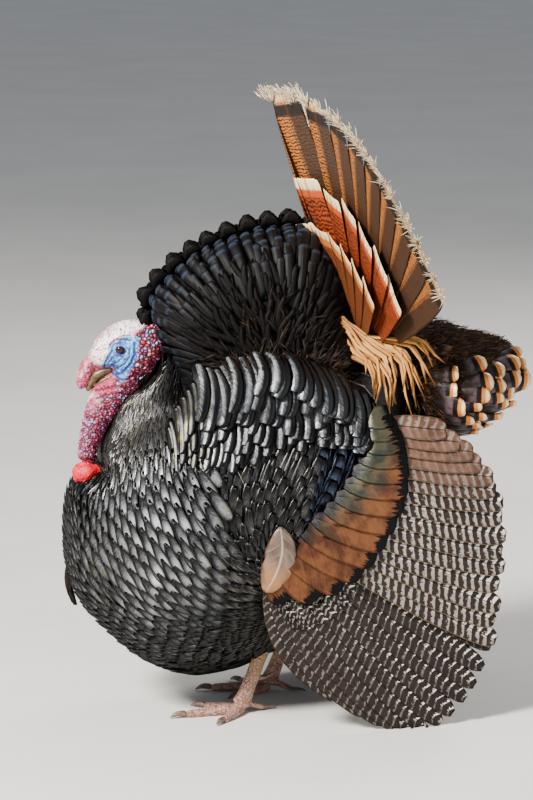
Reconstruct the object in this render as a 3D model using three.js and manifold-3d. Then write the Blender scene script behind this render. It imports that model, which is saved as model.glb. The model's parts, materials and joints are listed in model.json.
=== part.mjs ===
// Wild turkey (Meleagris gallopavo): a strutting tom at life size, with its tail fanned, its back
// feathers raised and its wings drooped. Millimetres, +Z up. The bird faces -Y, its left is +X,
// and it stands on the plane z = 0.

import * as THREE from 'three';
import { mergeVertices } from 'three/addons/utils/BufferGeometryUtils.js';
import Module from 'manifold-3d';

const wasm = await Module();
wasm.setup();

// ---- Driving dimensions -------------------------------------------------------------------

const GAP = 0.3; // clearance between neighbouring pieces
const CUT_MARGIN = 1.4; // how much wider than the gap a cutter is, as normals lean at its edges
const FLOOR = -8; // the level of the soles, in the frame that the body is drawn in
const MIDDLE = 1; // the middle of the bird along Y, in that frame

const EYE = { x: 19.5, y: -232, z: 480.5, radius: 7 };
const WATTLE = { y: -272, z: 312, radius: 20 };

const DOME = { y: -20, z: 430, halfWidth: 104 }; // the arch of raised back feathers
const WING = { halfSpan: 172, flare: 14, flareTop: 150, tuck: 70, tuckFrom: 200, tuckOver: 230 };
const WING_VANE = { root: 5, tip: 2.75 }; // thickness of a layer of wing feathers
const WING_SHINGLE = 2; // each feather's step behind its neighbour
const PRIMARY_BOW = 26;
const TAIL = { y: 100, z: 470, lean: 23.2, length: 384, sweep: 100, sweepEase: 12, halfSpread: 70 };
const SHORTER_AT_SIDE = 0.08; // the outermost tail feather, against the middle one
const TAIL_SHINGLE = 2.5;
const RECTRICES_PER_SIDE = 9;

const FOOT = {
  left: { x: 60, y: -74 },
  right: { x: -50, y: -20 },
};
const HOCK = { back: 46, height: 128 }; // the hock lies this far behind and above the foot
const SHANK_RADIUS = 10;

// ---- Materials ----------------------------------------------------------------------------

function material(color, roughness, metalness = 0) {
  return new THREE.MeshStandardMaterial({ color, roughness, metalness });
}

const MATERIALS = {
  body: () => material(0x2c2a2b, 0.5, 0.2),
  hackle: () => material(0x4a4744, 0.55, 0.1),
  pewter: () => material(0x6d7178, 0.35, 0.4),
  bronze: () => material(0x7a4c2e, 0.35, 0.4),
  barred: () => material(0x57493f, 0.6),
  chestnut: () => material(0x8a4a22, 0.6),
  cream: () => material(0xd9a468, 0.6),
  down: () => material(0x2e231c, 0.85),
  caruncle: () => material(0xb5475c, 0.45),
  blueSkin: () => material(0x5f9fc8, 0.5),
  scarlet: () => material(0xc4172c, 0.35),
  horn: () => material(0xa08a63, 0.4),
  eye: () => material(0x140d0a, 0.1),
  leg: () => material(0xb98a78, 0.6),
  claw: () => material(0x4a3a30, 0.4),
  beard: () => material(0x151312, 0.8),
};

// ---- Small tools --------------------------------------------------------------------------

const X_AXIS = new THREE.Vector3(1, 0, 0);

const vec = (x, y, z) => new THREE.Vector3(x, y, z);
const clamp = (value, low, high) => Math.min(high, Math.max(low, value));
const mix = (a, b, t) => a + (b - a) * t;
const radians = (degrees) => (degrees * Math.PI) / 180;
const fraction = (value) => value - Math.floor(value);

/** A smooth cubic through rows [key, ...values], read at a key. */
function readRows(rows, key) {
  const last = rows.length - 1;
  const at = clamp(key, rows[0][0], rows[last][0]);
  let i = 0;
  while (i < last - 1 && at > rows[i + 1][0]) {
    i += 1;
  }
  const [k0, ...a] = rows[i];
  const [k1, ...b] = rows[i + 1];
  const before = rows[Math.max(i - 1, 0)];
  const after = rows[Math.min(i + 2, last)];
  const span = k1 - k0;
  const t = (at - k0) / span;
  return a.map((value, n) => {
    const slope0 = ((b[n] - before[n + 1]) / (k1 - before[0])) * span;
    const slope1 = ((after[n + 1] - value) / (after[0] - k0)) * span;
    const t2 = t * t;
    const t3 = t2 * t;
    return (
      (2 * t3 - 3 * t2 + 1) * value + (t3 - 2 * t2 + t) * slope0
      + (3 * t2 - 2 * t3) * b[n] + (t3 - t2) * slope1
    );
  });
}

/** Moves every vertex of a closed geometry to where `place` puts it, facing outwards. */
function reshape(source, place) {
  source.deleteAttribute('normal');
  source.deleteAttribute('uv');
  const geometry = mergeVertices(source);
  const position = geometry.getAttribute('position');
  for (let i = 0; i < position.count; i += 1) {
    const p = place(vec(position.getX(i), position.getY(i), position.getZ(i)));
    position.setXYZ(i, p.x, p.y, p.z);
  }
  if (signedVolume(geometry) < 0) {
    const index = geometry.getIndex();
    for (let i = 0; i < index.count; i += 3) {
      const first = index.getX(i);
      index.setX(i, index.getX(i + 1));
      index.setX(i + 1, first);
    }
  }
  return geometry;
}

function signedVolume(geometry) {
  const position = geometry.getAttribute('position');
  const index = geometry.getIndex();
  const corner = (i) => new THREE.Vector3().fromBufferAttribute(position, index.getX(i));
  let volume = 0;
  for (let i = 0; i < index.count; i += 3) {
    volume += corner(i).dot(corner(i + 1).cross(corner(i + 2))) / 6;
  }
  return volume;
}

/**
 * A closed tube with round ends through rows [x, y, z, halfWidth, halfDepth]. Its width lies
 * along `side`, and `swell(angle, t)` scales its rings.
 */
function tube(rows, { around = 12, along = 10, side = X_AXIS, ends = [0.12, 0.12], swell } = {}) {
  const centreLine = new THREE.CatmullRomCurve3(rows.map(([x, y, z]) => vec(x, y, z)));
  const sizes = rows.map(([, , , halfWidth, halfDepth], i) => [i, halfWidth, halfDepth]);
  return reshape(new THREE.SphereGeometry(1, around, along), (p) => {
    const t = Math.acos(clamp(p.y, -1, 1)) / Math.PI;
    const angle = Math.atan2(p.z, p.x);
    const [halfWidth, halfDepth] = readRows(sizes, t * (rows.length - 1));
    const fromStart = clamp(1 - t / ends[0], 0, 1);
    const fromEnd = clamp(1 - (1 - t) / ends[1], 0, 1);
    const cap = Math.sqrt(Math.max(0, 1 - fromStart * fromStart - fromEnd * fromEnd));
    const scale = cap * (swell ? swell(angle, t) : 1);
    const tangent = centreLine.getTangent(t);
    const across = side.clone().addScaledVector(tangent, -side.dot(tangent)).normalize();
    const depth = tangent.clone().cross(across);
    return centreLine.getPoint(t)
      .addScaledVector(across, Math.cos(angle) * halfWidth * scale)
      .addScaledVector(depth, Math.sin(angle) * halfDepth * scale);
  });
}

/** A closed plate: `face(u, v, outer)` gives the points of its outer and inner faces. */
function plate(face, across, down) {
  const box = new THREE.BoxGeometry(1, 1, 1, across, down, 1);
  return reshape(box, (p) => face(p.x + 0.5, p.y + 0.5, p.z > 0));
}

/** How far feather tips reach across a row: 1 at each tip and less in the notches. */
function scallop(u, feathers, depth) {
  const fromShaft = Math.abs(2 * fraction(u * feathers) - 1);
  return 1 - depth * fromShaft ** 2.5;
}

/** How far across its own feather a place in a row lies, from 0 to 1. */
function overlap(u, feathers) {
  return fraction(u * feathers + 1e-6);
}

function mirror(geometry) {
  return reshape(geometry.clone(), (p) => vec(-p.x, p.y, p.z));
}

// ---- Joining and cutting ------------------------------------------------------------------

function toSolid(geometry) {
  const position = geometry.getAttribute('position');
  return new wasm.Manifold(new wasm.Mesh({
    numProp: 3,
    vertProperties: new Float32Array(position.array),
    triVerts: new Uint32Array(geometry.getIndex().array),
  }));
}

function toGeometry(solid) {
  const mesh = solid.getMesh();
  const geometry = new THREE.BufferGeometry();
  geometry.setAttribute('position', new THREE.BufferAttribute(mesh.vertProperties, 3));
  geometry.setIndex(new THREE.BufferAttribute(mesh.triVerts, 1));
  return geometry;
}

/** The same closed surface, moved outwards along its normals. */
function grown(geometry, distance) {
  const wider = geometry.clone();
  wider.computeVertexNormals();
  const position = wider.getAttribute('position');
  const normal = wider.getAttribute('normal');
  for (let i = 0; i < position.count; i += 1) {
    position.setXYZ(
      i,
      position.getX(i) + normal.getX(i) * distance,
      position.getY(i) + normal.getY(i) * distance,
      position.getZ(i) + normal.getZ(i) * distance,
    );
  }
  wider.deleteAttribute('normal');
  return wider;
}

function largestPiece(solid) {
  return solid.decompose().reduce((best, piece) => (piece.volume() > best.volume() ? piece : best));
}

// ---- Trunk, neck and head -----------------------------------------------------------------

/** Rows along the body: y, height of the middle, half height, half width. */
const TRUNK_ROWS = [
  [-297, 226, 0, 0],
  [-293, 227, 44, 52],
  [-284, 228, 78, 92],
  [-250, 230, 124, 122],
  [-200, 226, 164, 146],
  [-150, 223, 180, 156],
  [-100, 235, 189, 158],
  [-50, 250, 189, 154],
  [0, 274, 178, 146],
  [50, 310, 156, 132],
  [100, 358, 128, 108],
  [140, 402, 88, 78],
  [165, 424, 48, 44],
  [175, 430, 0, 0],
];
const BREAST_CLEFT = { depth: 0.1, halfWidth: 0.13, endsAt: -130 };

function trunk() {
  const front = TRUNK_ROWS[0][0];
  const rear = TRUNK_ROWS[TRUNK_ROWS.length - 1][0];
  return reshape(new THREE.SphereGeometry(1, 20, 12), (p) => {
    const y = mix(front, rear, (1 - p.y) / 2);
    const [middle, halfHeight, halfWidth] = readRows(TRUNK_ROWS, y);
    const angle = Math.atan2(p.z, p.x);
    const below = Math.sin(angle) < 0 ? 1 : 0.4;
    const fade = clamp((BREAST_CLEFT.endsAt - y) / 60, 0, 1) * below;
    const cleft = Math.exp(-((Math.cos(angle) / BREAST_CLEFT.halfWidth) ** 2) / 2);
    const reach = (1 - BREAST_CLEFT.depth * fade * cleft) * (p.x === 0 && p.z === 0 ? 0 : 1);
    return vec(
      Math.cos(angle) * halfWidth * reach,
      y,
      middle + Math.sin(angle) * halfHeight * reach,
    );
  });
}

function featheredNeck() {
  return tube([
    [0, -190, 250, 84, 78],
    [0, -197, 310, 66, 67],
    [0, -194, 355, 53, 59],
    [0, -184, 400, 44, 46],
    [0, -177, 440, 38, 34],
    [0, -172, 478, 31, 24],
  ], { around: 12, along: 6 });
}

function bareNeck() {
  return tube([
    [0, -212, 452, 25, 24],
    [0, -229, 432, 25, 25],
    [0, -246, 409, 22, 23],
    [0, -261, 378, 17, 17],
    [0, -270, 350, 13, 13],
    [0, -273, 326, 12, 12],
  ], { around: 10, along: 7, ends: [0.12, 0.08] });
}

function wattle() {
  const lobes = 5;
  return tube([
    [0, WATTLE.y + 1, WATTLE.z + 16, 12, 12],
    [0, WATTLE.y, WATTLE.z, WATTLE.radius - 2, WATTLE.radius],
    [0, WATTLE.y, WATTLE.z - 18, 13, 15],
  ], {
    around: 15,
    along: 7,
    ends: [0.3, 0.42],
    swell: (angle) => 1 + 0.06 * Math.cos(lobes * angle),
  });
}

function head() {
  return tube([
    [0, -170, 476, 16, 20],
    [0, -184, 479, 24, 31],
    [0, -202, 478, 28, 38],
    [0, -221, 474, 27, 39],
    [0, -239, 467, 23, 33],
    [0, -253, 459, 17, 22],
    [0, -261, 451, 12, 13],
  ], { around: 12, along: 8, ends: [0.12, 0.1] });
}

function snood() {
  return tube([
    [0, -246, 474, 8, 7],
    [0, -259, 466, 10, 10],
    [0, -269, 453, 9.5, 11],
    [0, -276, 438, 8, 9],
    [0, -281, 424, 6, 6],
  ], { around: 10, along: 7 });
}

function upperBill() {
  return tube([
    [0, -240, 451, 12, 6.5],
    [0, -254, 446, 10, 7],
    [0, -265, 436, 7, 6],
    [0, -271, 421, 3, 3.5],
  ], { around: 10, along: 6 });
}

function lowerBill() {
  return tube([
    [0, -238, 443, 10.5, 4.5],
    [0, -251, 436, 8.5, 4],
    [0, -261, 426, 5, 3],
  ], { around: 10, along: 5 });
}

function eyeball() {
  const centre = vec(EYE.x, EYE.y, EYE.z);
  return reshape(new THREE.SphereGeometry(EYE.radius, 8, 6), (p) => p.add(centre));
}

function beard() {
  return tube([
    [0, -262, 222, 11, 9],
    [0, -286, 204, 10, 8],
    [0, -297, 180, 9, 7],
    [0, -297, 156, 8, 6],
    [0, -289, 132, 5, 4],
  ], { around: 8, along: 7 });
}

// ---- Raised back feathers -----------------------------------------------------------------

/** Reach of the dome in the middle plane: angle above the rear horizontal in degrees, radius. */
const DOME_ROWS = [
  [-90, 150],
  [-40, 124],
  [5, 128],
  [27, 136],
  [49, 157],
  [67, 194],
  [81, 212],
  [92, 210],
  [115, 205],
  [136, 206],
  [147, 203],
  [160, 170],
  [170, 142],
  [200, 130],
  [270, 150],
];
const DOME_FEATHERS = 17;

function dome() {
  return reshape(new THREE.SphereGeometry(1, 26, 7), (p) => {
    const around = Math.atan2(p.z, p.x);
    const degrees = (THREE.MathUtils.radToDeg(around) + 450) % 360 - 90;
    const [radius] = readRows(DOME_ROWS, degrees);
    const ring = Math.hypot(p.x, p.z);
    const notch = ring > 0.9 ? scallop((degrees + 90) / 360, DOME_FEATHERS * 2, 0.03) : 1;
    const reach = radius * notch * ring ** 0.85;
    return vec(
      DOME.halfWidth * Math.sign(p.y) * Math.abs(p.y) ** 0.9,
      DOME.y + Math.cos(around) * reach,
      DOME.z + Math.sin(around) * reach,
    );
  });
}

// ---- Wings --------------------------------------------------------------------------------

/** The outer face of the drooped wing, as a distance from the middle plane. */
function wingFace(y, z) {
  const flare = WING.flare * Math.max(0, (WING.flareTop - z) / WING.flareTop) ** 1.5;
  const tuck = WING.tuck * Math.max(0, (z - WING.tuckFrom) / WING.tuckOver) ** 2;
  const curve = (y > 60 ? 0.0005 : 0.0006) * (y - 60) ** 2;
  return WING.halfSpan + flare - tuck - curve;
}

/**
 * One layer of wing feathers between its rows of roots and of tips, both [u, y, z]. `lift` is
 * its place outside the face of the wing, and `bow` bends its foremost feathers.
 */
function wingLayer({ roots, tips, feathers, lift, notch, down, bow = 0 }) {
  return plate((u, v, outer) => {
    const [rootY, rootZ] = readRows(roots, u);
    const [tipY, tipZ] = readRows(tips, u);
    const reach = v * mix(1, scallop(u, feathers, notch), v);
    const bowed = bow * Math.sin(Math.PI * reach) * u * u;
    const y = mix(rootY, tipY, reach) - bowed;
    const z = mix(rootZ, tipZ, reach) - bowed * 0.4;
    const shingle = WING_SHINGLE * overlap(u, feathers) * v;
    const thick = mix(WING_VANE.root, WING_VANE.tip, v);
    return vec(wingFace(y, z) + lift - shingle - (outer ? 0 : thick), y, z);
  }, feathers * 2, down);
}

const SECONDARY_ROOTS = [
  [0, 78, 396],
  [0.25, 62, 352],
  [0.5, 36, 304],
  [0.75, 12, 262],
  [1, -8, 236],
];
const SECONDARY_TIPS = [
  [0, 180, 384],
  [0.2, 232, 340],
  [0.42, 260, 288],
  [0.62, 264, 226],
  [0.82, 258, 156],
  [1, 250, 96],
];
const PRIMARY_ROOTS = [
  [0, 4, 246],
  [0.3, -16, 222],
  [0.65, -38, 200],
  [1, -56, 186],
];
const PRIMARY_TIPS = [
  [0, 252, 98],
  [0.22, 222, 36],
  [0.45, 178, -6],
  [0.65, 136, -16],
  [0.85, 88, 4],
  [1, 46, 34],
];
const BRONZE_ROOTS = [
  [0, 84, 404],
  [0.25, 80, 350],
  [0.5, 46, 292],
  [0.75, -8, 242],
  [1, -50, 200],
];
const BRONZE_TIPS = [
  [0, 112, 408],
  [0.2, 130, 366],
  [0.42, 130, 306],
  [0.62, 100, 242],
  [0.78, 62, 198],
  [0.92, 2, 170],
  [1, -42, 172],
];

function secondaries() {
  return wingLayer({
    roots: SECONDARY_ROOTS,
    tips: SECONDARY_TIPS,
    feathers: 9,
    lift: -4,
    notch: 0.06,
    down: 2,
  });
}

function primaries() {
  return wingLayer({
    roots: PRIMARY_ROOTS,
    tips: PRIMARY_TIPS,
    feathers: 8,
    lift: -12,
    notch: 0.07,
    down: 3,
    bow: PRIMARY_BOW,
  });
}

function greaterCoverts() {
  return wingLayer({
    roots: BRONZE_ROOTS,
    tips: BRONZE_TIPS,
    feathers: 9,
    lift: 4,
    notch: 0.1,
    down: 2,
  });
}

const ARM_FRONT = [
  [0, -60, 190],
  [0.25, -112, 236],
  [0.5, -143, 296],
  [0.75, -146, 350],
  [1, -116, 408],
];
const ARM_REAR = [
  [0, -36, 186],
  [0.25, 22, 236],
  [0.5, 66, 296],
  [0.75, 96, 352],
  [1, 94, 410],
];

/** The padded arm of the folded wing under its small coverts. */
function wingArm() {
  return plate((u, v, outer) => {
    const [frontY, frontZ] = readRows(ARM_FRONT, u);
    const [rearY, rearZ] = readRows(ARM_REAR, u);
    const y = mix(frontY, rearY, v);
    const z = mix(frontZ, rearZ, v);
    const pillow = (Math.sin(Math.PI * v) * Math.sin(Math.PI * clamp(u, 0.04, 0.96))) ** 0.5;
    const lift = 8 * pillow - 15;
    return vec(wingFace(y, z) + lift - (outer ? 0 : 6 + 22 * pillow), y, z);
  }, 6, 5);
}

const SCAPULAR_LOW = [
  [0, -176, 330],
  [0.2, -140, 302],
  [0.4, -84, 336],
  [0.7, 24, 364],
  [1, 92, 384],
];
const SCAPULAR_TOP = [
  [0, -180, 384],
  [0.12, -158, 428],
  [0.3, -110, 462],
  [0.5, -52, 474],
  [0.7, 12, 464],
  [0.86, 66, 432],
  [1, 112, 406],
];

/** The shawl of big shoulder feathers that stands up over the arm of the wing. */
function scapulars() {
  const feathers = 9;
  return plate((u, v, outer) => {
    const [lowY, lowZ] = readRows(SCAPULAR_LOW, u);
    const [topY, topZ] = readRows(SCAPULAR_TOP, u);
    const y = mix(lowY, topY, v);
    const z = mix(lowZ, topZ, v);
    const raised = 34 * clamp((z - 395) / 75, 0, 1.2);
    const pillow = Math.sin(Math.PI * clamp(u, 0.05, 0.95)) ** 0.5;
    const lift = 9 + raised - 13 * (1 - pillow);
    const thick = mix(15, 6, v) * mix(0.35, 1, pillow);
    const notch = v === 1 ? 5 * (scallop(u, feathers, 1) - 1) : 0;
    return vec(wingFace(y, z) + lift - (outer ? 0 : thick), y, z + notch);
  }, feathers * 2, 2);
}

function alula() {
  const lift = 7.5; // it lies on the wrist end of the coverts
  const rows = [[-58, 184, 1.5, 9], [-46, 206, 2, 19], [-38, 232, 2, 19], [-36, 262, 1.2, 6]];
  return tube(
    rows.map(([y, z, halfThick, halfWide]) => [wingFace(y, z) + lift, y, z, halfThick, halfWide]),
    { around: 8, along: 5 },
  );
}

// ---- Tail ---------------------------------------------------------------------------------

/**
 * A point of the fan: `degrees` from the middle feather, `radius` from the root of the tail and
 * `lift` in front of the fan. The two halves are swept back from a ridge in the middle.
 */
function fanPoint(degrees, radius, lift = 0) {
  const ease = (Math.abs(degrees) / TAIL.sweepEase) ** 0.8;
  const sweep = TAIL.sweep * (1 - Math.exp(-ease)) * (radius / TAIL.length);
  const rise = radius * Math.cos(radians(degrees));
  const lean = radians(TAIL.lean);
  return vec(
    radius * Math.sin(radians(degrees)),
    TAIL.y - rise * Math.sin(lean) + sweep - lift * Math.cos(lean),
    TAIL.z + rise * Math.cos(lean) - lift * Math.sin(lean),
  );
}

/** One row of tail feathers from `from` to `to` degrees, `reach(degrees)` long. */
function fanLayer({ from, to, feathers, root, reach, lift, thickness, notch, down }) {
  return plate((u, v, outer) => {
    const degrees = mix(from, to, u);
    const tip = reach(degrees) * mix(1, scallop(u, feathers, notch), v);
    const radius = mix(root, tip, v);
    const shingle = TAIL_SHINGLE * overlap(u, feathers) * v;
    return fanPoint(degrees, radius, lift * mix(0.7, 1, v) - shingle - (outer ? 0 : thickness));
  }, feathers * 2, down);
}

function tailHalf() {
  return fanLayer({
    from: 0.25,
    to: TAIL.halfSpread,
    feathers: RECTRICES_PER_SIDE,
    root: 6,
    reach: (degrees) => TAIL.length * (1 - SHORTER_AT_SIDE * (degrees / TAIL.halfSpread) ** 2),
    lift: 0,
    thickness: 3,
    notch: 0.04,
    down: 2,
  });
}

function longTailCoverts() {
  return fanLayer({
    from: 0.3,
    to: 66,
    feathers: 7,
    root: 10,
    reach: (degrees) => 262 - 22 * (degrees / 66) ** 2,
    lift: 13,
    thickness: 4,
    notch: 0.05,
    down: 2,
  });
}

function shortTailCoverts() {
  return fanLayer({
    from: 0.3,
    to: 60,
    feathers: 6,
    root: 12,
    reach: () => 200,
    lift: 28,
    thickness: 5,
    notch: 0.07,
    down: 2,
  });
}

const SIDE_ROOTS = [
  [0, 70, 66, 470],
  [0.5, 92, 88, 486],
  [1, 106, 112, 496],
];
const SIDE_TIPS = [
  [0, 104, 84, 424],
  [0.25, 118, 110, 418],
  [0.5, 132, 134, 430],
  [0.75, 142, 158, 452],
  [1, 148, 170, 488],
];

/** The lateral coverts, which hang in fingers beside the rump. */
function sideTailCoverts() {
  const feathers = 5;
  return plate((u, v, outer) => {
    const [rootX, rootY, rootZ] = readRows(SIDE_ROOTS, u);
    const [tipX, tipY, tipZ] = readRows(SIDE_TIPS, u);
    const reach = v * mix(1, scallop(u, feathers, 0.3), v);
    const bow = 14 * Math.sin(Math.PI * reach);
    return vec(
      mix(rootX, tipX, reach) + bow - (outer ? 0 : 6),
      mix(rootY, tipY, reach) + bow * 0.4,
      mix(rootZ, tipZ, reach) + bow,
    );
  }, feathers * 2, 3);
}

function undertailCoverts() {
  const feathers = 11;
  return tube([
    [0, 128, 424, 84, 62],
    [0, 165, 428, 112, 80],
    [0, 200, 427, 124, 78],
    [0, 235, 430, 124, 65],
    [0, 268, 438, 108, 49],
    [0, 296, 445, 84, 31],
    [0, 306, 447, 70, 20],
  ], {
    around: 18,
    along: 6,
    ends: [0.14, 0.1],
    swell: (angle, t) => 1 + (t > 0.6 ? 0.035 * Math.cos(feathers * angle) : 0),
  });
}

// ---- Legs ---------------------------------------------------------------------------------

function thigh({ x, y }) {
  const side = Math.sign(x);
  return tube([
    [x + side * 18, y + 12, FLOOR + 208, 42, 62],
    [x + side * 12, y + 30, FLOOR + 168, 40, 54],
    [x + side * 4, y + HOCK.back - 6, FLOOR + 124, 29, 37],
    [x, y + HOCK.back - 8, FLOOR + 86, 17, 21],
  ], { around: 12, along: 7 });
}

function shank({ x, y }) {
  return tube([
    [x, y - 3, FLOOR + 9, SHANK_RADIUS + 1, SHANK_RADIUS + 3],
    [x, y + 8, FLOOR + 34, SHANK_RADIUS - 2, SHANK_RADIUS],
    [x, y + 27, FLOOR + 84, SHANK_RADIUS - 2, SHANK_RADIUS],
    [x, y + HOCK.back, FLOOR + HOCK.height, SHANK_RADIUS + 4, SHANK_RADIUS + 5],
  ], { around: 8, along: 6, ends: [0.06, 0.06] });
}

function spur({ x, y }) {
  const inner = -Math.sign(x);
  return tube([
    [x + inner * 4, y + 16, FLOOR + 46, 4, 4],
    [x + inner * 8, y + 32, FLOOR + 46, 3, 3],
    [x + inner * 10, y + 44, FLOOR + 51, 1, 1],
  ], { around: 6, along: 4, side: vec(1, 0, 0.3).normalize() });
}

/** Toes in the frame of the foot: heading from straight ahead (outwards is positive), length. */
const TOES = {
  inner: { heading: -34, length: 60, radius: 7.8 },
  middle: { heading: 10, length: 84, radius: 8.8 },
  outer: { heading: 56, length: 62, radius: 8 },
};
const HALLUX = { heading: 196, length: 34, radius: 5.5, height: 12 };
const CLAW_LENGTH = 17;
const SOLE = 1.2; // depth of the pad that is flattened on the floor

/** A point in the foot's own plan, `ahead` along a toe's heading. */
function onFoot({ x, y }, heading, ahead, height) {
  const side = Math.sign(x);
  const angle = radians(heading);
  return [x + side * Math.sin(angle) * ahead, y - Math.cos(angle) * ahead, FLOOR + height];
}

function toe(foot, { heading, length, radius, height = 0 }) {
  const at = (part, size, high) => [...onFoot(foot, heading, length * part, high), size, size * 0.82];
  const flat = radius * 0.82 - SOLE;
  const side = vec(Math.cos(radians(heading)) * Math.sign(foot.x), Math.sin(radians(heading)), 0);
  return tube([
    at(0.02, radius * 0.9, flat + height),
    at(0.3, radius, flat + height * 0.75),
    at(0.62, radius * 0.86, radius * 0.7 - SOLE + height * 0.4),
    at(0.97, radius * 0.72, radius * 0.59 - SOLE + height * 0.1),
  ], { around: 8, along: 4, side });
}

function claw(foot, { heading, length, radius }) {
  const at = (ahead, size, high) => [...onFoot(foot, heading, length + ahead, high), size, size];
  const side = vec(Math.cos(radians(heading)) * Math.sign(foot.x), Math.sin(radians(heading)), 0);
  return tube([
    at(-6, radius * 0.5, radius * 0.62),
    at(CLAW_LENGTH * 0.4, radius * 0.4, radius * 0.66),
    at(CLAW_LENGTH, 0.8, 1.6),
  ], { around: 6, along: 4, side });
}

// ---- The whole bird -----------------------------------------------------------------------

/** Pieces in order: each one gives way to those before it. */
function allPieces() {
  const list = [];
  const add = (name, geometry, look) => list.push({ name, geometry, look });
  const addPair = (name, geometry, look) => {
    add(`${name}_left`, geometry, look);
    add(`${name}_right`, mirror(geometry), look);
  };

  addPair('eye', eyeball(), 'eye');
  add('snood', snood(), 'caruncle');
  add('bill_upper', upperBill(), 'horn');
  add('bill_lower', lowerBill(), 'horn');
  add('head', head(), 'blueSkin');
  add('wattle', wattle(), 'scarlet');
  add('neck_bare', bareNeck(), 'caruncle');
  add('neck', featheredNeck(), 'hackle');
  add('trunk', trunk(), 'body');
  add('beard', beard(), 'beard');
  addPair('scapulars', scapulars(), 'pewter');
  add('mantle', dome(), 'body');
  addPair('alula', alula(), 'pewter');
  addPair('greater_coverts', greaterCoverts(), 'bronze');
  addPair('wing_arm', wingArm(), 'body');
  addPair('secondaries', secondaries(), 'barred');
  addPair('primaries', primaries(), 'barred');
  addPair('tail_coverts_short', shortTailCoverts(), 'cream');
  addPair('tail_coverts_long', longTailCoverts(), 'chestnut');
  addPair('tail', tailHalf(), 'chestnut');
  add('undertail', undertailCoverts(), 'down');
  addPair('tail_coverts_side', sideTailCoverts(), 'cream');
  for (const [side, foot] of Object.entries(FOOT)) {
    add(`thigh_${side}`, thigh(foot), 'down');
    add(`shank_${side}`, shank(foot), 'leg');
    add(`spur_${side}`, spur(foot), 'claw');
    for (const [name, form] of Object.entries({ ...TOES, hind: HALLUX })) {
      add(`claw_${name}_${side}`, claw(foot, form), 'claw');
      add(`toe_${name}_${side}`, toe(foot, form), 'leg');
    }
  }
  return list;
}

/** The box round a geometry. */
function boxOf(geometry) {
  return new THREE.Box3().setFromBufferAttribute(geometry.getAttribute('position'));
}

function assemble() {
  const bird = new THREE.Group();
  const placed = [];
  for (const { name, geometry, look } of allPieces()) {
    let solid = toSolid(geometry).trimByPlane([0, 0, 1], FLOOR);
    for (const other of placed.filter(({ box }) => box.intersectsBox(boxOf(geometry)))) {
      solid = solid.subtract(other.cutter);
    }
    const mesh = new THREE.Mesh(toGeometry(largestPiece(solid)), MATERIALS[look]());
    mesh.name = name;
    bird.add(mesh);
    const wider = grown(geometry, GAP * CUT_MARGIN);
    placed.push({ cutter: toSolid(wider), box: boxOf(wider) });
  }
  bird.position.set(0, -MIDDLE, -FLOOR);
  return bird;
}

export default assemble();
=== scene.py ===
"""A strutting wild turkey: its skin, plumage, materials and the photo's view, over the CAD frame."""
import json
import math

import bpy
import numpy as np
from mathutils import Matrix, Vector, noise
from mathutils.bvhtree import BVHTree

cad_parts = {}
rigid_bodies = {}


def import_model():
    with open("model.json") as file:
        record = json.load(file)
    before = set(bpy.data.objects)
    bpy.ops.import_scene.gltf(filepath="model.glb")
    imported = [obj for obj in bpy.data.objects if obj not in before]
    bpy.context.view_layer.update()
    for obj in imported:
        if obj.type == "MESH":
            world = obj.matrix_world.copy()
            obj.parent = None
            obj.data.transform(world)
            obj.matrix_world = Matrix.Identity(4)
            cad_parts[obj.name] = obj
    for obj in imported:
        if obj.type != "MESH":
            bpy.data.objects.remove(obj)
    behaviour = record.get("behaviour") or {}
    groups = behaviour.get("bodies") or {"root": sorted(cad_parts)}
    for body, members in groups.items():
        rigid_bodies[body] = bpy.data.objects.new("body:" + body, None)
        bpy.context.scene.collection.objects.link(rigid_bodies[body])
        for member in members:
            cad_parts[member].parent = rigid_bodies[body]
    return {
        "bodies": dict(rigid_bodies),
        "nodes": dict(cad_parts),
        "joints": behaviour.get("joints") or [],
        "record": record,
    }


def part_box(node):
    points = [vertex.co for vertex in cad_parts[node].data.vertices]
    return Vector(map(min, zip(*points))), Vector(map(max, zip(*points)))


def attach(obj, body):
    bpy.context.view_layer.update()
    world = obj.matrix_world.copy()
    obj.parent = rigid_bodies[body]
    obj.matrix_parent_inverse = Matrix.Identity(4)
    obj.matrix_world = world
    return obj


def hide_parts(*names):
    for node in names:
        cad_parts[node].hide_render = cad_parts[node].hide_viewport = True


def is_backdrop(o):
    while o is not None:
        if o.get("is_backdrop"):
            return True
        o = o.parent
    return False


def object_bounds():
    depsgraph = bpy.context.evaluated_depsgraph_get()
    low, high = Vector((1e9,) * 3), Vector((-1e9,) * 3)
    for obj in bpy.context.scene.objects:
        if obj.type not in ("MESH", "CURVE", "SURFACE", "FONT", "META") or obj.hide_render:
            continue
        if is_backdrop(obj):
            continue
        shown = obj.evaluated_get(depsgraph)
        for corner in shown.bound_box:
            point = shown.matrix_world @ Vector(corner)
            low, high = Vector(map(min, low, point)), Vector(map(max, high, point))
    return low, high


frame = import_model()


def plain(corners):
    return [list(corner) for corner in corners]


cad_box = plain(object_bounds())

# ---- Numbers shared with the part -----------------------------------------------------------
# Millimetres in the frame that the body is drawn in. DRAWN_TO_ROW moves that frame to the row's.

EYE = (19.5, -232.0, 480.5)
EYE_RADIUS = 7.0
FLOOR = -8.0

DOME = {"y": -20.0, "z": 430.0, "half_width": 104.0}
DOME_ROWS = [
    [-90, 150], [-40, 124], [5, 128], [27, 136], [49, 157], [67, 194], [81, 212], [92, 210],
    [115, 205], [136, 206], [147, 203], [160, 170], [170, 142], [200, 130], [270, 150],
]

TAIL = {
    "y": 100.0, "z": 470.0, "lean": 23.2, "length": 384.0, "sweep": 100.0, "ease": 12.0, "half_spread": 70.0,
}

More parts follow.
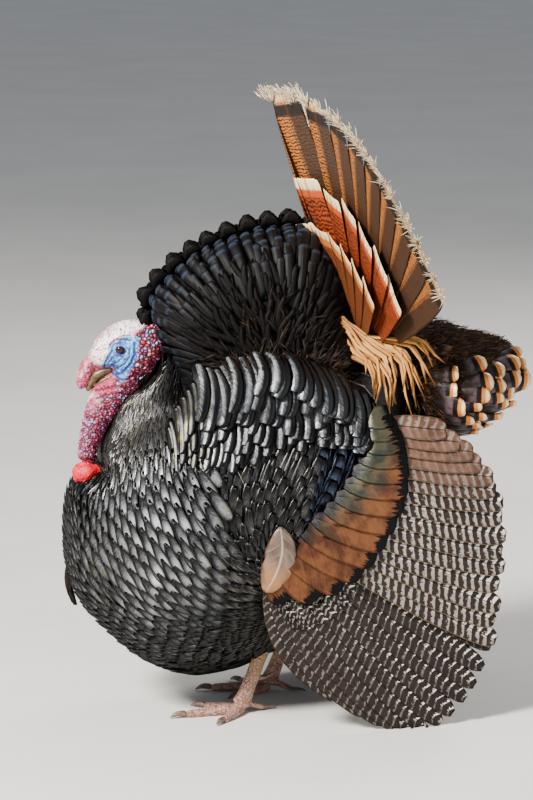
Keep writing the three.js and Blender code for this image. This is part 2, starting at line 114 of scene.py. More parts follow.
TRUNK_ROWS = [
    [-297, 226, 0, 0], [-293, 227, 44, 52], [-284, 228, 78, 92], [-250, 230, 124, 122],
    [-200, 226, 164, 146], [-150, 223, 180, 156], [-100, 235, 189, 158], [-50, 250, 189, 154],
    [0, 274, 178, 146], [50, 310, 156, 132], [100, 358, 128, 108], [140, 402, 88, 78],
    [165, 424, 48, 44], [175, 430, 0, 0],
]
BREAST_CLEFT = {"depth": 0.1, "half_width": 0.13, "ends_at": -130.0, "fade": 60.0}

NECK_ROWS = [
    [0, -190, 250, 84, 78], [0, -197, 310, 66, 67], [0, -194, 355, 53, 59],
    [0, -184, 400, 44, 46], [0, -177, 440, 38, 34], [0, -172, 478, 31, 24],
]
BARE_NECK_ROWS = [
    [0, -212, 452, 25, 24], [0, -229, 432, 25, 25], [0, -246, 409, 22, 23],
    [0, -261, 378, 17, 17], [0, -270, 350, 13, 13], [0, -273, 326, 12, 12],
]
HEAD_ROWS = [
    [0, -170, 476, 16, 20], [0, -184, 479, 24, 31], [0, -202, 478, 28, 38],
    [0, -221, 474, 27, 39], [0, -239, 467, 23, 33], [0, -253, 459, 17, 22], [0, -261, 451, 12, 13],
]
SNOOD_ROWS = [
    [0, -246, 474, 8, 7], [0, -259, 466, 10, 10], [0, -269, 453, 9.5, 11],
    [0, -276, 438, 8, 9], [0, -281, 424, 6, 6],
]
WATTLE_ROWS = [[0, -271, 328, 12, 12], [0, -272, 312, 18, 20], [0, -272, 294, 13, 15]]
UPPER_BILL_ROWS = [
    [0, -236, 452, 12, 5.5], [0, -254, 446, 10, 7], [0, -265, 436, 7, 6], [0, -271, 421, 3, 3.5],
]
LOWER_BILL_ROWS = [[0, -238, 443, 10.5, 4.5], [0, -251, 436, 8.5, 4], [0, -261, 426, 5, 3]]
BEARD_ROWS = [
    [0, -262, 222, 11, 9], [0, -286, 204, 10, 8], [0, -297, 180, 9, 7],
    [0, -297, 156, 8, 6], [0, -289, 132, 5, 4],
]
UNDERTAIL_ROWS = [
    [0, 128, 424, 84, 62], [0, 165, 428, 112, 80], [0, 200, 427, 124, 78], [0, 235, 430, 124, 65],
    [0, 268, 438, 108, 49], [0, 296, 445, 84, 31], [0, 306, 447, 70, 20],
]

FEET = {"left": (60.0, -74.0), "right": (-50.0, -20.0)}
HOCK = {"back": 46.0, "height": 128.0}
SHANK_RADIUS = 10.0
TOES = {
    "inner": (-34.0, 60.0, 7.8, 0.0),
    "middle": (10.0, 84.0, 8.8, 0.0),
    "outer": (56.0, 62.0, 8.0, 0.0),
    "hind": (196.0, 34.0, 5.5, 12.0),
}
CLAW_LENGTH = 17.0
SOLE = 1.2

MM = 1000  # millimetres in a metre
EYE_SHIFT = (0.0, 2.6, -1.6)  # from the solid's eye to the photo's
EYE_CENTRE = np.array(EYE) + EYE_SHIFT
eye_low, eye_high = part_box("eye_left")
DRAWN_TO_ROW = np.array([
    0.0,
    (eye_low.y + eye_high.y) * MM / 2 - EYE[1],
    (eye_low.z + eye_high.z) * MM / 2 - EYE[2],
])

# ---- Curves and surfaces --------------------------------------------------------------------

ALONG_X = np.array([1.0, 0.0, 0.0])


def read_rows(rows, keys):
    """A smooth cubic through rows [key, ...values], read at each key."""
    table = np.array(rows, float)
    knots, values = table[:, 0], table[:, 1:]
    keys = np.asarray(keys, float)
    at = np.clip(keys.ravel(), knots[0], knots[-1])
    i = np.clip(np.searchsorted(knots, at, side="left") - 1, 0, len(knots) - 2)
    before = np.maximum(i - 1, 0)
    after = np.minimum(i + 2, len(knots) - 1)
    span = (knots[i + 1] - knots[i])[:, None]
    t = (at - knots[i])[:, None] / span
    slope0 = (values[i + 1] - values[before]) / (knots[i + 1] - knots[before])[:, None] * span
    slope1 = (values[after] - values[i]) / (knots[after] - knots[i])[:, None] * span
    t2, t3 = t * t, t * t * t
    read = (2 * t3 - 3 * t2 + 1) * values[i] + (t3 - 2 * t2 + t) * slope0
    read += (3 * t2 - 2 * t3) * values[i + 1] + (t3 - t2) * slope1
    return read.reshape(keys.shape + (values.shape[1],))


def unit(vectors):
    return vectors / np.maximum(np.linalg.norm(vectors, axis=-1, keepdims=True), 1e-9)


def mix(a, b, t):
    return a + (b - a) * t


def clamp(value, low=0.0, high=1.0):
    return np.minimum(np.maximum(value, low), high)


def stack(*parts):
    return np.stack(np.broadcast_arrays(*parts), -1)


def paired(a, b):
    return np.broadcast_arrays(np.asarray(a, float), np.asarray(b, float))


def tube_point(rows, t, angle, side=ALONG_X, ends=(0.12, 0.12), swell=None, inset=0.0):
    """Points of a closed round-ended tube through rows [x, y, z, half width, half depth]."""
    t, angle = paired(t, angle)
    keyed = [[n, *row] for n, row in enumerate(rows)]
    last = len(rows) - 1
    here = read_rows(keyed, t * last)
    step = 0.02
    tangent = unit(read_rows(keyed, t * last + step)[..., :3] - read_rows(keyed, t * last - step)[..., :3])
    from_start = clamp(1 - t / ends[0])
    from_end = clamp(1 - (1 - t) / ends[1])
    cap = np.sqrt(np.maximum(0, 1 - from_start ** 2 - from_end ** 2))
    if swell is not None:
        cap = cap * swell(angle, t)
    across = unit(side - (tangent @ side)[..., None] * tangent)
    depth = np.cross(tangent, across)
    wide = (np.cos(angle) * np.maximum(here[..., 3] - inset, 1) * cap)[..., None]
    deep = (np.sin(angle) * np.maximum(here[..., 4] - inset, 1) * cap)[..., None]
    return here[..., :3] + across * wide + depth * deep


def tube_mesh(rows, around=32, along=24, **options):
    """Vertices and quads of a closed tube."""
    t = np.linspace(0, 1, along + 1)[1:-1]
    angle = np.linspace(0, 2 * np.pi, around, endpoint=False)
    rings = tube_point(rows, t[:, None], angle[None, :], **options)
    ends = tube_point(rows, np.array([0.0, 1.0]), np.zeros(2), **options)
    return rings_mesh(rings, ends)


def rings_mesh(rings, ends):
    """A closed mesh of rings of points with a point at each end."""
    count, around = rings.shape[:2]
    points = np.concatenate([rings.reshape(-1, 3), ends])
    faces = []
    for i in range(count - 1):
        for j in range(around):
            k = (j + 1) % around
            faces.append((i * around + j, i * around + k, (i + 1) * around + k, (i + 1) * around + j))
    first, last = count * around, count * around + 1
    for j in range(around):
        k = (j + 1) % around
        faces.append((first, k, j))
        faces.append((last, (count - 1) * around + j, (count - 1) * around + k))
    return points, faces


def trunk_mesh(inset=0.0, around=64, along=60):
    front, rear = TRUNK_ROWS[0][0], TRUNK_ROWS[-1][0]
    polar = np.linspace(0, np.pi, along + 1)
    y = mix(front, rear, (1 - np.cos(polar)) / 2)
    angle = np.linspace(0, 2 * np.pi, around, endpoint=False)
    middle, high, wide = np.moveaxis(read_rows(TRUNK_ROWS, y), -1, 0)
    below = np.where(np.sin(angle) < 0, 1.0, 0.4)
    fade = clamp((BREAST_CLEFT["ends_at"] - y) / BREAST_CLEFT["fade"])[:, None] * below
    cleft = np.exp(-((np.cos(angle) / BREAST_CLEFT["half_width"]) ** 2) / 2)
    reach = 1 - BREAST_CLEFT["depth"] * fade * cleft
    x = np.cos(angle) * np.maximum(wide - inset, 0)[:, None] * reach
    z = middle[:, None] + np.sin(angle) * np.maximum(high - inset, 0)[:, None] * reach
    rings = stack(x, y[:, None], z)
    ends = np.array([[0, front + inset, middle[0]], [0, rear - inset, middle[-1]]])
    return rings_mesh(rings[1:-1], ends)


def thigh_rows(foot):
    x, y = foot
    side = math.copysign(1, x)
    return [
        [x + side * 18, y + 12, FLOOR + 208, 42, 62],
        [x + side * 12, y + 30, FLOOR + 168, 40, 54],
        [x + side * 4, y + HOCK["back"] - 6, FLOOR + 124, 29, 37],
        [x, y + HOCK["back"] - 8, FLOOR + 86, 17, 21],
    ]


def shank_rows(foot):
    x, y = foot
    return [
        [x, y - 3, FLOOR + 9, SHANK_RADIUS + 1, SHANK_RADIUS + 3],
        [x, y + 8, FLOOR + 34, SHANK_RADIUS - 2, SHANK_RADIUS],
        [x, y + 27, FLOOR + 84, SHANK_RADIUS - 2, SHANK_RADIUS],
        [x, y + HOCK["back"], FLOOR + HOCK["height"], SHANK_RADIUS + 4, SHANK_RADIUS + 5],
    ]


def spur_rows(foot):
    x, y = foot
    inner = -math.copysign(1, x)
    return [
        [x + inner * 4, y + 16, FLOOR + 46, 4, 4],
        [x + inner * 8, y + 32, FLOOR + 46, 3, 3],
        [x + inner * 10, y + 44, FLOOR + 51, 1, 1],
    ]


def on_foot(foot, heading, ahead, height):
    x, y = foot
    side, angle = math.copysign(1, x), math.radians(heading)
    return [x + side * math.sin(angle) * ahead, y - math.cos(angle) * ahead, FLOOR + height]


def toe_side(foot, heading):
    angle = math.radians(heading)
    return np.array([math.cos(angle) * math.copysign(1, foot[0]), math.sin(angle), 0.0])


def toe_rows(foot, heading, length, radius, height):
    flat = radius * 0.82 - SOLE
    parts = [
        (0.02, radius * 0.9, flat + height),
        (0.3, radius, flat + height * 0.75),
        (0.62, radius * 0.86, radius * 0.7 - SOLE + height * 0.4),
        (0.97, radius * 0.72, radius * 0.59 - SOLE + height * 0.1),
    ]
    return [[*on_foot(foot, heading, length * at, high), size, size * 0.82] for at, size, high in parts]


def claw_rows(foot, heading, length, radius):
    parts = [
        (-6, radius * 0.5, radius * 0.62),
        (CLAW_LENGTH * 0.4, radius * 0.4, radius * 0.66),
        (CLAW_LENGTH, 0.8, 1.6),
    ]
    return [[*on_foot(foot, heading, length + ahead, high), size, size] for ahead, size, high in parts]


def wing_face(y, z):
    """The outer face of the drooped wing, as a distance from the middle plane."""
    flare = 14 * np.maximum(0, (150 - z) / 150) ** 1.5
    tuck = 70 * np.maximum(0, (z - 200) / 230) ** 2
    curve = np.where(y > 60, 0.0005, 0.0006) * (y - 60) ** 2
    return 172 + flare - tuck - curve


def fan_point(degrees, radius, lift=0.0):
    """A point of the tail fan, as in the part."""
    degrees, radius, lift = np.broadcast_arrays(degrees, radius, lift)
    ease = (np.abs(degrees) / TAIL["ease"]) ** 0.8
    sweep = TAIL["sweep"] * (1 - np.exp(-ease)) * (radius / TAIL["length"])
    rise = radius * np.cos(np.radians(degrees))
    lean = math.radians(TAIL["lean"])
    return stack(
        radius * np.sin(np.radians(degrees)),
        TAIL["y"] - rise * math.sin(lean) + sweep - lift * math.cos(lean),
        TAIL["z"] + rise * math.cos(lean) - lift * math.sin(lean),
    )


# ---- Meshes ---------------------------------------------------------------------------------


def to_row(points):
    """Drawn millimetres as metres in the row's frame."""
    return (points + DRAWN_TO_ROW) * 0.001


def shade_smooth(mesh):
    mesh.polygons.foreach_set("use_smooth", np.ones(len(mesh.polygons), bool))


def new_mesh(name, points, faces):
    """A mesh from points in drawn millimetres, and an array of quads or a list of faces."""
    mesh = bpy.data.meshes.new(name)
    where = to_row(np.asarray(points, float).reshape(-1, 3))
    if isinstance(faces, np.ndarray):
        count, corners = faces.shape
        mesh.vertices.add(len(where))
        mesh.vertices.foreach_set("co", where.astype(np.float32).ravel())
        mesh.loops.add(count * corners)
        mesh.loops.foreach_set("vertex_index", faces.astype(np.int32).ravel())
        mesh.polygons.add(count)
        mesh.polygons.foreach_set("loop_start", np.arange(0, count * corners, corners, dtype=np.int32))
        mesh.update(calc_edges=True)
    else:
        mesh.from_pydata([tuple(p) for p in where], [], faces)
    shade_smooth(mesh)
    return mesh


def new_object(name, mesh, material=None):
    made = bpy.data.objects.new(name, mesh)
    bpy.context.scene.collection.objects.link(made)
    if material is not None:
        made.data.materials.append(material)
    return made


def joined(parts):
    """Several (points, faces) as one."""
    points, faces, offset = [], [], 0
    for some_points, some_faces in parts:
        points.append(some_points)
        faces.extend([tuple(i + offset for i in face) for face in some_faces])
        offset += len(some_points)
    return np.concatenate(points), faces


def remeshed(name, parts, voxel, smoothing=0):
    """One closed surface over several closed parts; voxel in millimetres."""
    source = new_object(name, new_mesh(name, *joined(parts)))
    remesh = source.modifiers.new("remesh", "REMESH")
    remesh.mode = "VOXEL"
    remesh.voxel_size = voxel * 0.001
    if smoothing:
        smooth = source.modifiers.new("smooth", "SMOOTH")
        smooth.iterations = smoothing
    graph = bpy.context.evaluated_depsgraph_get()
    mesh = bpy.data.meshes.new_from_object(source.evaluated_get(graph))
    bpy.data.objects.remove(source)
    return mesh


def read_vectors(data, field):
    flat = np.empty(len(data) * 3, np.float32)
    data.foreach_get(field, flat)
    return flat.reshape(-1, 3).astype(float)


def mesh_points(mesh):
    """A mesh's vertices in drawn millimetres."""
    return read_vectors(mesh.vertices, "co") * MM - DRAWN_TO_ROW


def move_points(mesh, points):
    mesh.vertices.foreach_set("co", to_row(points).astype(np.float32).ravel())
    mesh.update()


def add_bake_map(mesh, uv):
    """The OFBake map, from a place for each vertex."""
    corners = np.empty(len(mesh.loops), np.int32)
    mesh.loops.foreach_get("vertex_index", corners)
    mesh.uv_layers.new(name="OFBake").data.foreach_set("uv", uv[corners].astype(np.float32).ravel())


def vector_noise(points, scale, seed=0.0):
    """Smooth noise from -1 to 1 at points, with features about `scale` millimetres across."""
    shift = Vector((seed * 17.3, seed * 5.1, seed * 9.7))
    return np.array([noise.noise(Vector(p) / scale + shift) for p in points])


def both(stem):
    """The names of a left and a right node."""
    return [f"{stem}_left", f"{stem}_right"]


# ---- Vanes ----------------------------------------------------------------------------------
# Every feather is a thin closed vane. It runs along a path on a surface given by place(s, t):
# s follows the lie of the feathers, and t runs across them.

# Outlines: places along the vane from root to tip, and its half width there.
SHAPES = {
    "hair": ([0, 0.25, 0.5, 0.75, 1], [0.8, 1, 0.8, 0.6, 0.2]),
    "strand": ([0, 0.12, 0.26, 0.4, 0.55, 0.7, 0.85, 1], [0.6, 0.9, 1, 1, 0.9, 0.8, 0.6, 0.2]),
    "broad": ([0, 0.1, 0.24, 0.4, 0.56, 0.7, 0.82, 0.91, 0.97, 1],
              [0.5, 0.7, 0.86, 0.96, 1, 1, 0.95, 0.82, 0.6, 0.25]),
    "hackle": ([0, 0.14, 0.3, 0.46, 0.62, 0.77, 0.9, 1], [0.7, 1, 1, 0.94, 0.8, 0.56, 0.3, 0.08]),
    "round": ([0, 0.18, 0.38, 0.58, 0.76, 0.9, 1], [0.3, 0.66, 0.9, 1, 0.93, 0.68, 0.25]),
    "square": ([0, 0.2, 0.42, 0.64, 0.85, 0.96, 1], [0.3, 0.66, 0.88, 1, 1, 0.93, 0.74]),
    "flight": ([0, 0.04, 0.12, 0.25, 0.4, 0.55, 0.68, 0.79, 0.87, 0.92, 0.955, 0.98, 1],
               [0.2, 0.4, 0.62, 0.8, 0.92, 1, 1, 0.98, 0.93, 0.86, 0.76, 0.6, 0.34]),
    "covert": ([0, 0.05, 0.14, 0.28, 0.44, 0.6, 0.74, 0.85, 0.92, 0.96, 0.985, 1],
               [0.2, 0.4, 0.62, 0.8, 0.92, 1, 1, 1, 0.99, 0.97, 0.92, 0.84]),
    "alula": ([0, 0.06, 0.14, 0.26, 0.4, 0.54, 0.68, 0.8, 0.9, 0.96, 1],
              [0.12, 0.36, 0.6, 0.84, 0.98, 1, 0.96, 0.82, 0.6, 0.4, 0.12]),
}
TINY = 1e-3
ABOVE_FLOOR = 0.5
FACT_UNIT = 100  # the millimetres in a vane's length and width as its material reads them
BAKE_PATCH = (0.003, 0.003)
BAKE_RANGE = (0.002, 0.995)


def outline(shape):
    return np.array(SHAPES[shape], float)


def on_surface(place, s, t, order):
    """Points of a surface, their normals, and the way across it."""
    base = place(s, t)
    ahead = place(s + TINY, t) - base
    over = place(s, t + TINY) - base
    return base, unit(np.cross(over, ahead)) * order, over


def vane_frame(centre, normal, over, bank=0.0):
    """The sides and the normals of vanes along their centre lines, banked up towards `over`."""
    tangent = unit(np.gradient(centre, axis=1))
    side = unit(np.cross(tangent, normal))
    towards = np.sign((side * over).sum(-1, keepdims=True))
    side = unit(side + normal * towards * math.tan(bank))
    return side, unit(np.cross(side, tangent))


def vane_faces(rows, columns):
    """Quads of one closed vane: its upper face, then its under face, which share their edge."""
    index = np.arange(rows * columns).reshape(rows, columns)
    under = index.copy()
    under[1:-1, 1:-1] = rows * columns + np.arange((rows - 2) * (columns - 2)).reshape(rows - 2, columns - 2)
    upper = np.stack([index[:-1, :-1], index[:-1, 1:], index[1:, 1:], index[1:, :-1]], -1).reshape(-1, 4)
    lower = np.stack([under[:-1, :-1], under[1:, :-1], under[1:, 1:], under[:-1, 1:]], -1).reshape(-1, 4)
    return np.concatenate([upper, lower])


class Plumage:
    """Vanes gathered into one mesh, with what the materials read."""

    def __init__(self, seed):
        self.random = np.random.default_rng(seed)
        self.points, self.faces, self.vane, self.kind, self.bake = [], [], [], [], []
        self.count = 0

    def add(self, centre, frame, half_width, v, columns, bake, thickness, camber, tone=0.0, fray=0.0,
            ragged=0.0):
        """Adds N vanes from their centre lines (N, rows, 3) and the sides and normals along them."""
        side, normal = (vectors[:, :, None] for vectors in frame)
        number, rows = centre.shape[:2]
        u = np.linspace(-1, 1, columns)
        width = half_width[:, :, None, None] * u[:, None]
        if ragged:
            torn = self.random.random((number, rows, 2)) ** 2 * ragged
            width[:, 1:-1, 0] *= 1 - torn[:, 1:-1, :1]
            width[:, 1:-1, -1] *= 1 - torn[:, 1:-1, 1:]
        flat = centre[:, :, None] + side * width
        flat = flat - normal * (camber * u ** 2)[:, None] * half_width[:, :, None, None]
        if fray:
            step = centre[:, -1] - centre[:, -2]
            cut = self.random.random((number, columns)) ** 1.5 * fray
            flat[:, -1] -= step[:, None] * cut[:, :, None]
        swell = (1 - u ** 2)[:, None] * thickness * 0.5
        upper = (flat + normal * swell).reshape(number, -1, 3)
        under = (flat - normal * swell)[:, 1:-1, 1:-1].reshape(number, -1, 3)
        uv = stack(u, v[:, None])
        uv = np.concatenate([uv.reshape(-1, 2), uv[1:-1, 1:-1].reshape(-1, 2)])
        each = len(uv)
        chance = np.repeat(self.random.random(number), each)
        length = np.linalg.norm(np.diff(centre, axis=1), axis=2).sum(1)
        facts = stack(tone, length / FACT_UNIT, half_width.max(1) / FACT_UNIT)
        corner, size = bake
        patch = corner[:, None] + (uv * [0.5, 1] + [0.5, 0]) * size
        starts = self.count + np.arange(number) * each
        self.points.append(np.concatenate([upper, under], 1).reshape(-1, 3))
        self.vane.append(np.column_stack([np.tile(uv, (number, 1)), chance]))
        self.kind.append(np.repeat(facts, each, axis=0))
        self.bake.append(patch.reshape(-1, 2))
        self.faces.append((vane_faces(rows, columns) + starts[:, None, None]).reshape(-1, 4))
        self.count += number * each

    def lay(self, place, s, t, length, half_width, low, high, shape, camber=0.25, columns=5, thickness=0.7,
            order=1.0, skew=0.0, splay=0.0, bow=0.0, bank=0.0, curl=0.0, belly=0.0, tone=0.0, ragged=0.0,
            lift_spread=0.0, size_spread=0.0):
        """Vanes rooted at (s, t) on a surface, from `low` above it at the root to `high` at the tip.

        `skew` turns them towards +t, `bow` bends them that way at mid-length and `bank` lifts one edge.
        `belly` lifts their middle and `curl` their tip. `splay` and the spreads make them uneven.
        """
        number = len(s)
        length, half_width, low, high, tone, skew = (
            np.broadcast_to(np.asarray(value, float), (number,))
            for value in (length, half_width, low, high, tone, skew)
        )
        if size_spread:
            length = length * (1 + self.random.normal(0, size_spread, number))
            half_width = half_width * (1 + self.random.normal(0, size_spread, number))
        v, w = outline(shape)
        turn = skew + self.random.normal(0, 1, number) * splay
        here = place(s, t)
        down = (place(s + TINY, t) - here) / TINY
        over = (place(s, t + TINY) - here) / TINY
        across_size = np.maximum(np.linalg.norm(over, axis=1), 1e-6)
        down_size = np.linalg.norm(down, axis=1)
        heading = down + over * (turn * down_size / across_size)[:, None]
        reach = length / np.maximum(np.linalg.norm(heading, axis=1), 1e-6)
        path_s = s[:, None] + reach[:, None] * v
        path_t = t[:, None] + (turn * down_size / across_size * reach)[:, None] * v
        path_t = path_t + (bow * length / across_size)[:, None] * np.sin(np.pi * v)
        base, normal, over = on_surface(place, path_s, path_t, order)
        rise = low[:, None] + (high - low)[:, None] * v
        rise = rise + (self.random.normal(0, 1, number) * lift_spread)[:, None] * v ** 1.5
        rise = rise + curl * v ** 3 + belly * np.sin(np.pi * v)
        centre = base + normal * rise[:, :, None]
        bake = clamp(np.stack([t, s], 1), *BAKE_RANGE), BAKE_PATCH
        self.add(centre, vane_frame(centre, normal, over, bank), half_width[:, None] * w, v, columns, bake,
                 thickness, camber, tone, 0.0, ragged)

    def flight(self, place, t, reach, half_width, order, s_from=0.0, shape="flight", camber=0.1, columns=9,
               thickness=1.4, bank=0.0, curl=0.0, tone=0.0, fray=0.0, ragged=0.0, wobble=0.0):
        """Big feathers along a surface from s_from to `reach`, one at each t."""
        number = len(t)
        v, w = outline(shape)
        path_t = t[:, None] + self.random.normal(0, wobble, (number, 1)) * v ** 1.5
        path_s = np.broadcast_to(s_from + (np.reshape(reach, (-1, 1)) - s_from) * v, path_t.shape)
        base, normal, over = on_surface(place, path_s, path_t, order)
        centre = base + normal * (curl * v ** 3)[:, None]
        half = np.broadcast_to(np.reshape(half_width, (-1, 1)) * w, path_t.shape)
        bake = stack((np.arange(number) + 0.03) / number, 0.02), (0.94 / number, 0.96)
        self.add(centre, vane_frame(centre, normal, over, bank), half, v, columns, bake, thickness, camber,
                 tone, fray, ragged)

    def finish(self, name, material, slot, nodes=()):
        """Makes the object, which rides the body and stands for the CAD nodes."""
        points = np.concatenate(self.points)
        points[:, 2] = np.maximum(points[:, 2], FLOOR + ABOVE_FLOOR)
        mesh = new_mesh(name, points, np.concatenate(self.faces))
        for label, values in (("vane", self.vane), ("kind", self.kind)):
            store = mesh.attributes.new(label, "FLOAT_VECTOR", "POINT")
            store.data.foreach_set("vector", np.concatenate(values).astype(np.float32).ravel())
        add_bake_map(mesh, np.concatenate(self.bake))
        made = new_object(name, mesh, material)
        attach(made, "root")
        if nodes:
            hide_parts(*nodes)
        print(f"{name}: {2 * len(mesh.polygons)} triangles")


def woven(place, columns, pitch, random, s_range=(0.0, 1.0), t_range=(0.0, 1.0), jitter=0.0, samples=160):
    """Roots in columns, each spaced by pitch(points) along the surface, at alternate heights."""
    t = t_range[0] + (np.arange(columns) + 0.5) / columns * (t_range[1] - t_range[0])
    s = np.linspace(*s_range, samples)
    points = place(s[None, :], t[:, None])
    step = np.linalg.norm(np.diff(points, axis=1), axis=2)
    spacing = np.broadcast_to(pitch(points), points.shape[:2])
    count = np.cumsum(step / spacing[:, 1:], axis=1)
    count = np.concatenate([np.zeros((columns, 1)), count], 1)
    all_s, all_t = [], []
    for j in range(columns):
        wanted = np.arange(0.25 + 0.5 * (j % 2), count[j, -1], 1.0)
        wanted = wanted + random.normal(0, jitter, len(wanted))
        all_s.append(np.interp(wanted, count[j], s))
        all_t.append(t[j] + random.normal(0, jitter, len(wanted)) * (t[1] - t[0]))
    return np.concatenate(all_s), np.concatenate(all_t)


def lattice(s_values, t_values, random, jitter=0.0):
    """Rows of roots at alternate places, as feathers grow, shaken by a part of their spacing."""
    s_values, t_values = np.asarray(s_values, float), np.asarray(t_values, float)
    step = t_values[1] - t_values[0]
    s, t = np.meshgrid(s_values, t_values, indexing="ij")
    t = t + (np.arange(len(s_values)) % 2)[:, None] * step / 2
    gap = np.gradient(s_values)[:, None]
    s = s + random.normal(0, 1, s.shape) * jitter * gap
    t = t + random.normal(0, 1, t.shape) * jitter * step
    return s.ravel(), t.ravel()


# ---- Materials ------------------------------------------------------------------------------


def rgb(code):
    """A linear colour from an sRGB code such as #8a5a30."""
    parts = [int(code[i:i + 2], 16) / 255 for i in (1, 3, 5)]
    return (*[p / 12.92 if p <= 0.04045 else ((p + 0.055) / 1.055) ** 2.4 for p in parts], 1.0)


class Field:
    """A node's output, which adds, subtracts and multiplies as a number does."""

    def __init__(self, net, socket):
        self.net, self.socket = net, socket

    def __add__(self, other):
        return self.net.math("ADD", self, other)

    def __sub__(self, other):
        return self.net.math("SUBTRACT", self, other)

    def __rsub__(self, other):
        return self.net.math("SUBTRACT", other, self)

    def __mul__(self, other):
        return self.net.math("MULTIPLY", self, other)


class Net:
    """A node material, with its colour so far as `paint`."""

    def __init__(self, name, **fixed):
        self.material = bpy.data.materials.new(name)
        self.material.use_nodes = True
        self.tree = self.material.node_tree
        self.tree.nodes.clear()
        self.shader = self.tree.nodes.new("ShaderNodeBsdfPrincipled")
        out = self.tree.nodes.new("ShaderNodeOutputMaterial")
        self.tree.links.new(self.shader.outputs[0], out.inputs[0])
        for label, value in fixed.items():
            self.shader.inputs[label.replace("_", " ")].default_value = value

    def put(self, value, socket):
        if isinstance(value, Field):
            self.tree.links.new(value.socket, socket)
        else:
            socket.default_value = rgb(value) if isinstance(value, str) else value

    def node(self, kind, inputs, output=0, **settings):
        """A new node's output, once the node is set and its inputs are filled."""
        made = self.tree.nodes.new("ShaderNode" + kind)
        for label, value in settings.items():
            setattr(made, label, value)
        for key, value in inputs.items():
            self.put(value, made.inputs[key])
        return Field(self, made.outputs[output])

    def math(self, operation, *values):
        return self.node("Math", dict(enumerate(values)), operation=operation)

    def ramp(self, amount, low, high):
        """0 at low, 1 at high, smoothly."""
        return self.node("MapRange", {0: amount, 1: low, 2: high}, interpolation_type="SMOOTHSTEP")

    def near(self, amount, middle, spread):
        """1 at middle, falling to 0 at `spread` on both sides."""
        return self.ramp(self.math("ABSOLUTE", amount - middle), spread, 0.0)

    def place(self):
        return self.node("TexCoord", {}, "Object")

    def noise(self, scale, detail=3.0, vector=None, stretch=None, roughness=0.55):
        where = vector or self.place()
        if stretch:
            where = self.node("Mapping", {0: where, "Scale": stretch})
        inputs = {"Vector": where, "Scale": scale, "Detail": detail, "Roughness": roughness}
        return self.node("TexNoise", inputs)

    def parts(self, vector):
        split = self.node("SeparateXYZ", {0: vector}).socket.node
        return [Field(self, socket) for socket in split.outputs]

    def joint(self, x, y, z):
        return self.node("CombineXYZ", {0: x, 1: y, 2: z})

    def stored(self, name, output="Fac"):
        return self.node("Attribute", {}, output, attribute_name=name)

    def blend(self, share, a, b):
        return self.node("Mix", {0: share, 6: a, 7: b}, 2, data_type="RGBA", clamp_factor=True)

    def steps(self, field, colour, *steps):
        """A colour, then the next from where the field passes from a step's low to its high."""
        for low, high, following in steps:
            colour = self.blend(self.ramp(field, low, high), colour, following)
        return colour

    def over(self, share, colour):
        self.paint = self.blend(share, self.paint, colour)

    def done(self, height=None, strength=0.0, distance=0.0):
        """The material, once it has its bumps and its colour."""
        if height:
            bumps = self.node("Bump", {"Strength": strength, "Distance": distance, "Height": height})
            self.put(bumps, self.shader.inputs["Normal"])
        self.put(self.paint, self.shader.inputs["Base Color"])
        return self.material


class Vane(Net):
    """A feather's material: u runs across it, v along it, and barbs slant out from the shaft."""

    def __init__(self, name, **fixed):
        super().__init__(name, **{"Specular_IOR_Level": 0.22, **fixed})
        self.u, self.v, self.chance = self.parts(self.stored("vane", "Vector"))
        self.tone, length, self.width = self.parts(self.stored("kind", "Vector"))
        self.aside = self.math("ABSOLUTE", self.u)
        along = self.v * length
        slant = along - self.aside * self.width * 0.9
        seed = self.chance * 37.0
        self.strands = self.noise(1.0, 2.0, self.joint(slant * 70.0, self.u, seed))
        self.fine = self.noise(1.0, 2.0, self.joint(slant * 190.0, self.u, seed))
        self.shaft = 1.0 - self.ramp(self.aside, 0.02, 0.1)
        from_side = (1.0 - self.aside) * self.width
        from_tip = (1.0 - self.v) * length
        self.edge = self.math("MINIMUM", from_side, from_tip * 1.8) * FACT_UNIT
        self.along, self.from_tip = along * FACT_UNIT, from_tip * FACT_UNIT

    def done(self, strength, distance=0.0006):
        return super().done(self.strands + self.fine * 0.5 + self.shaft * 0.7, strength, distance)


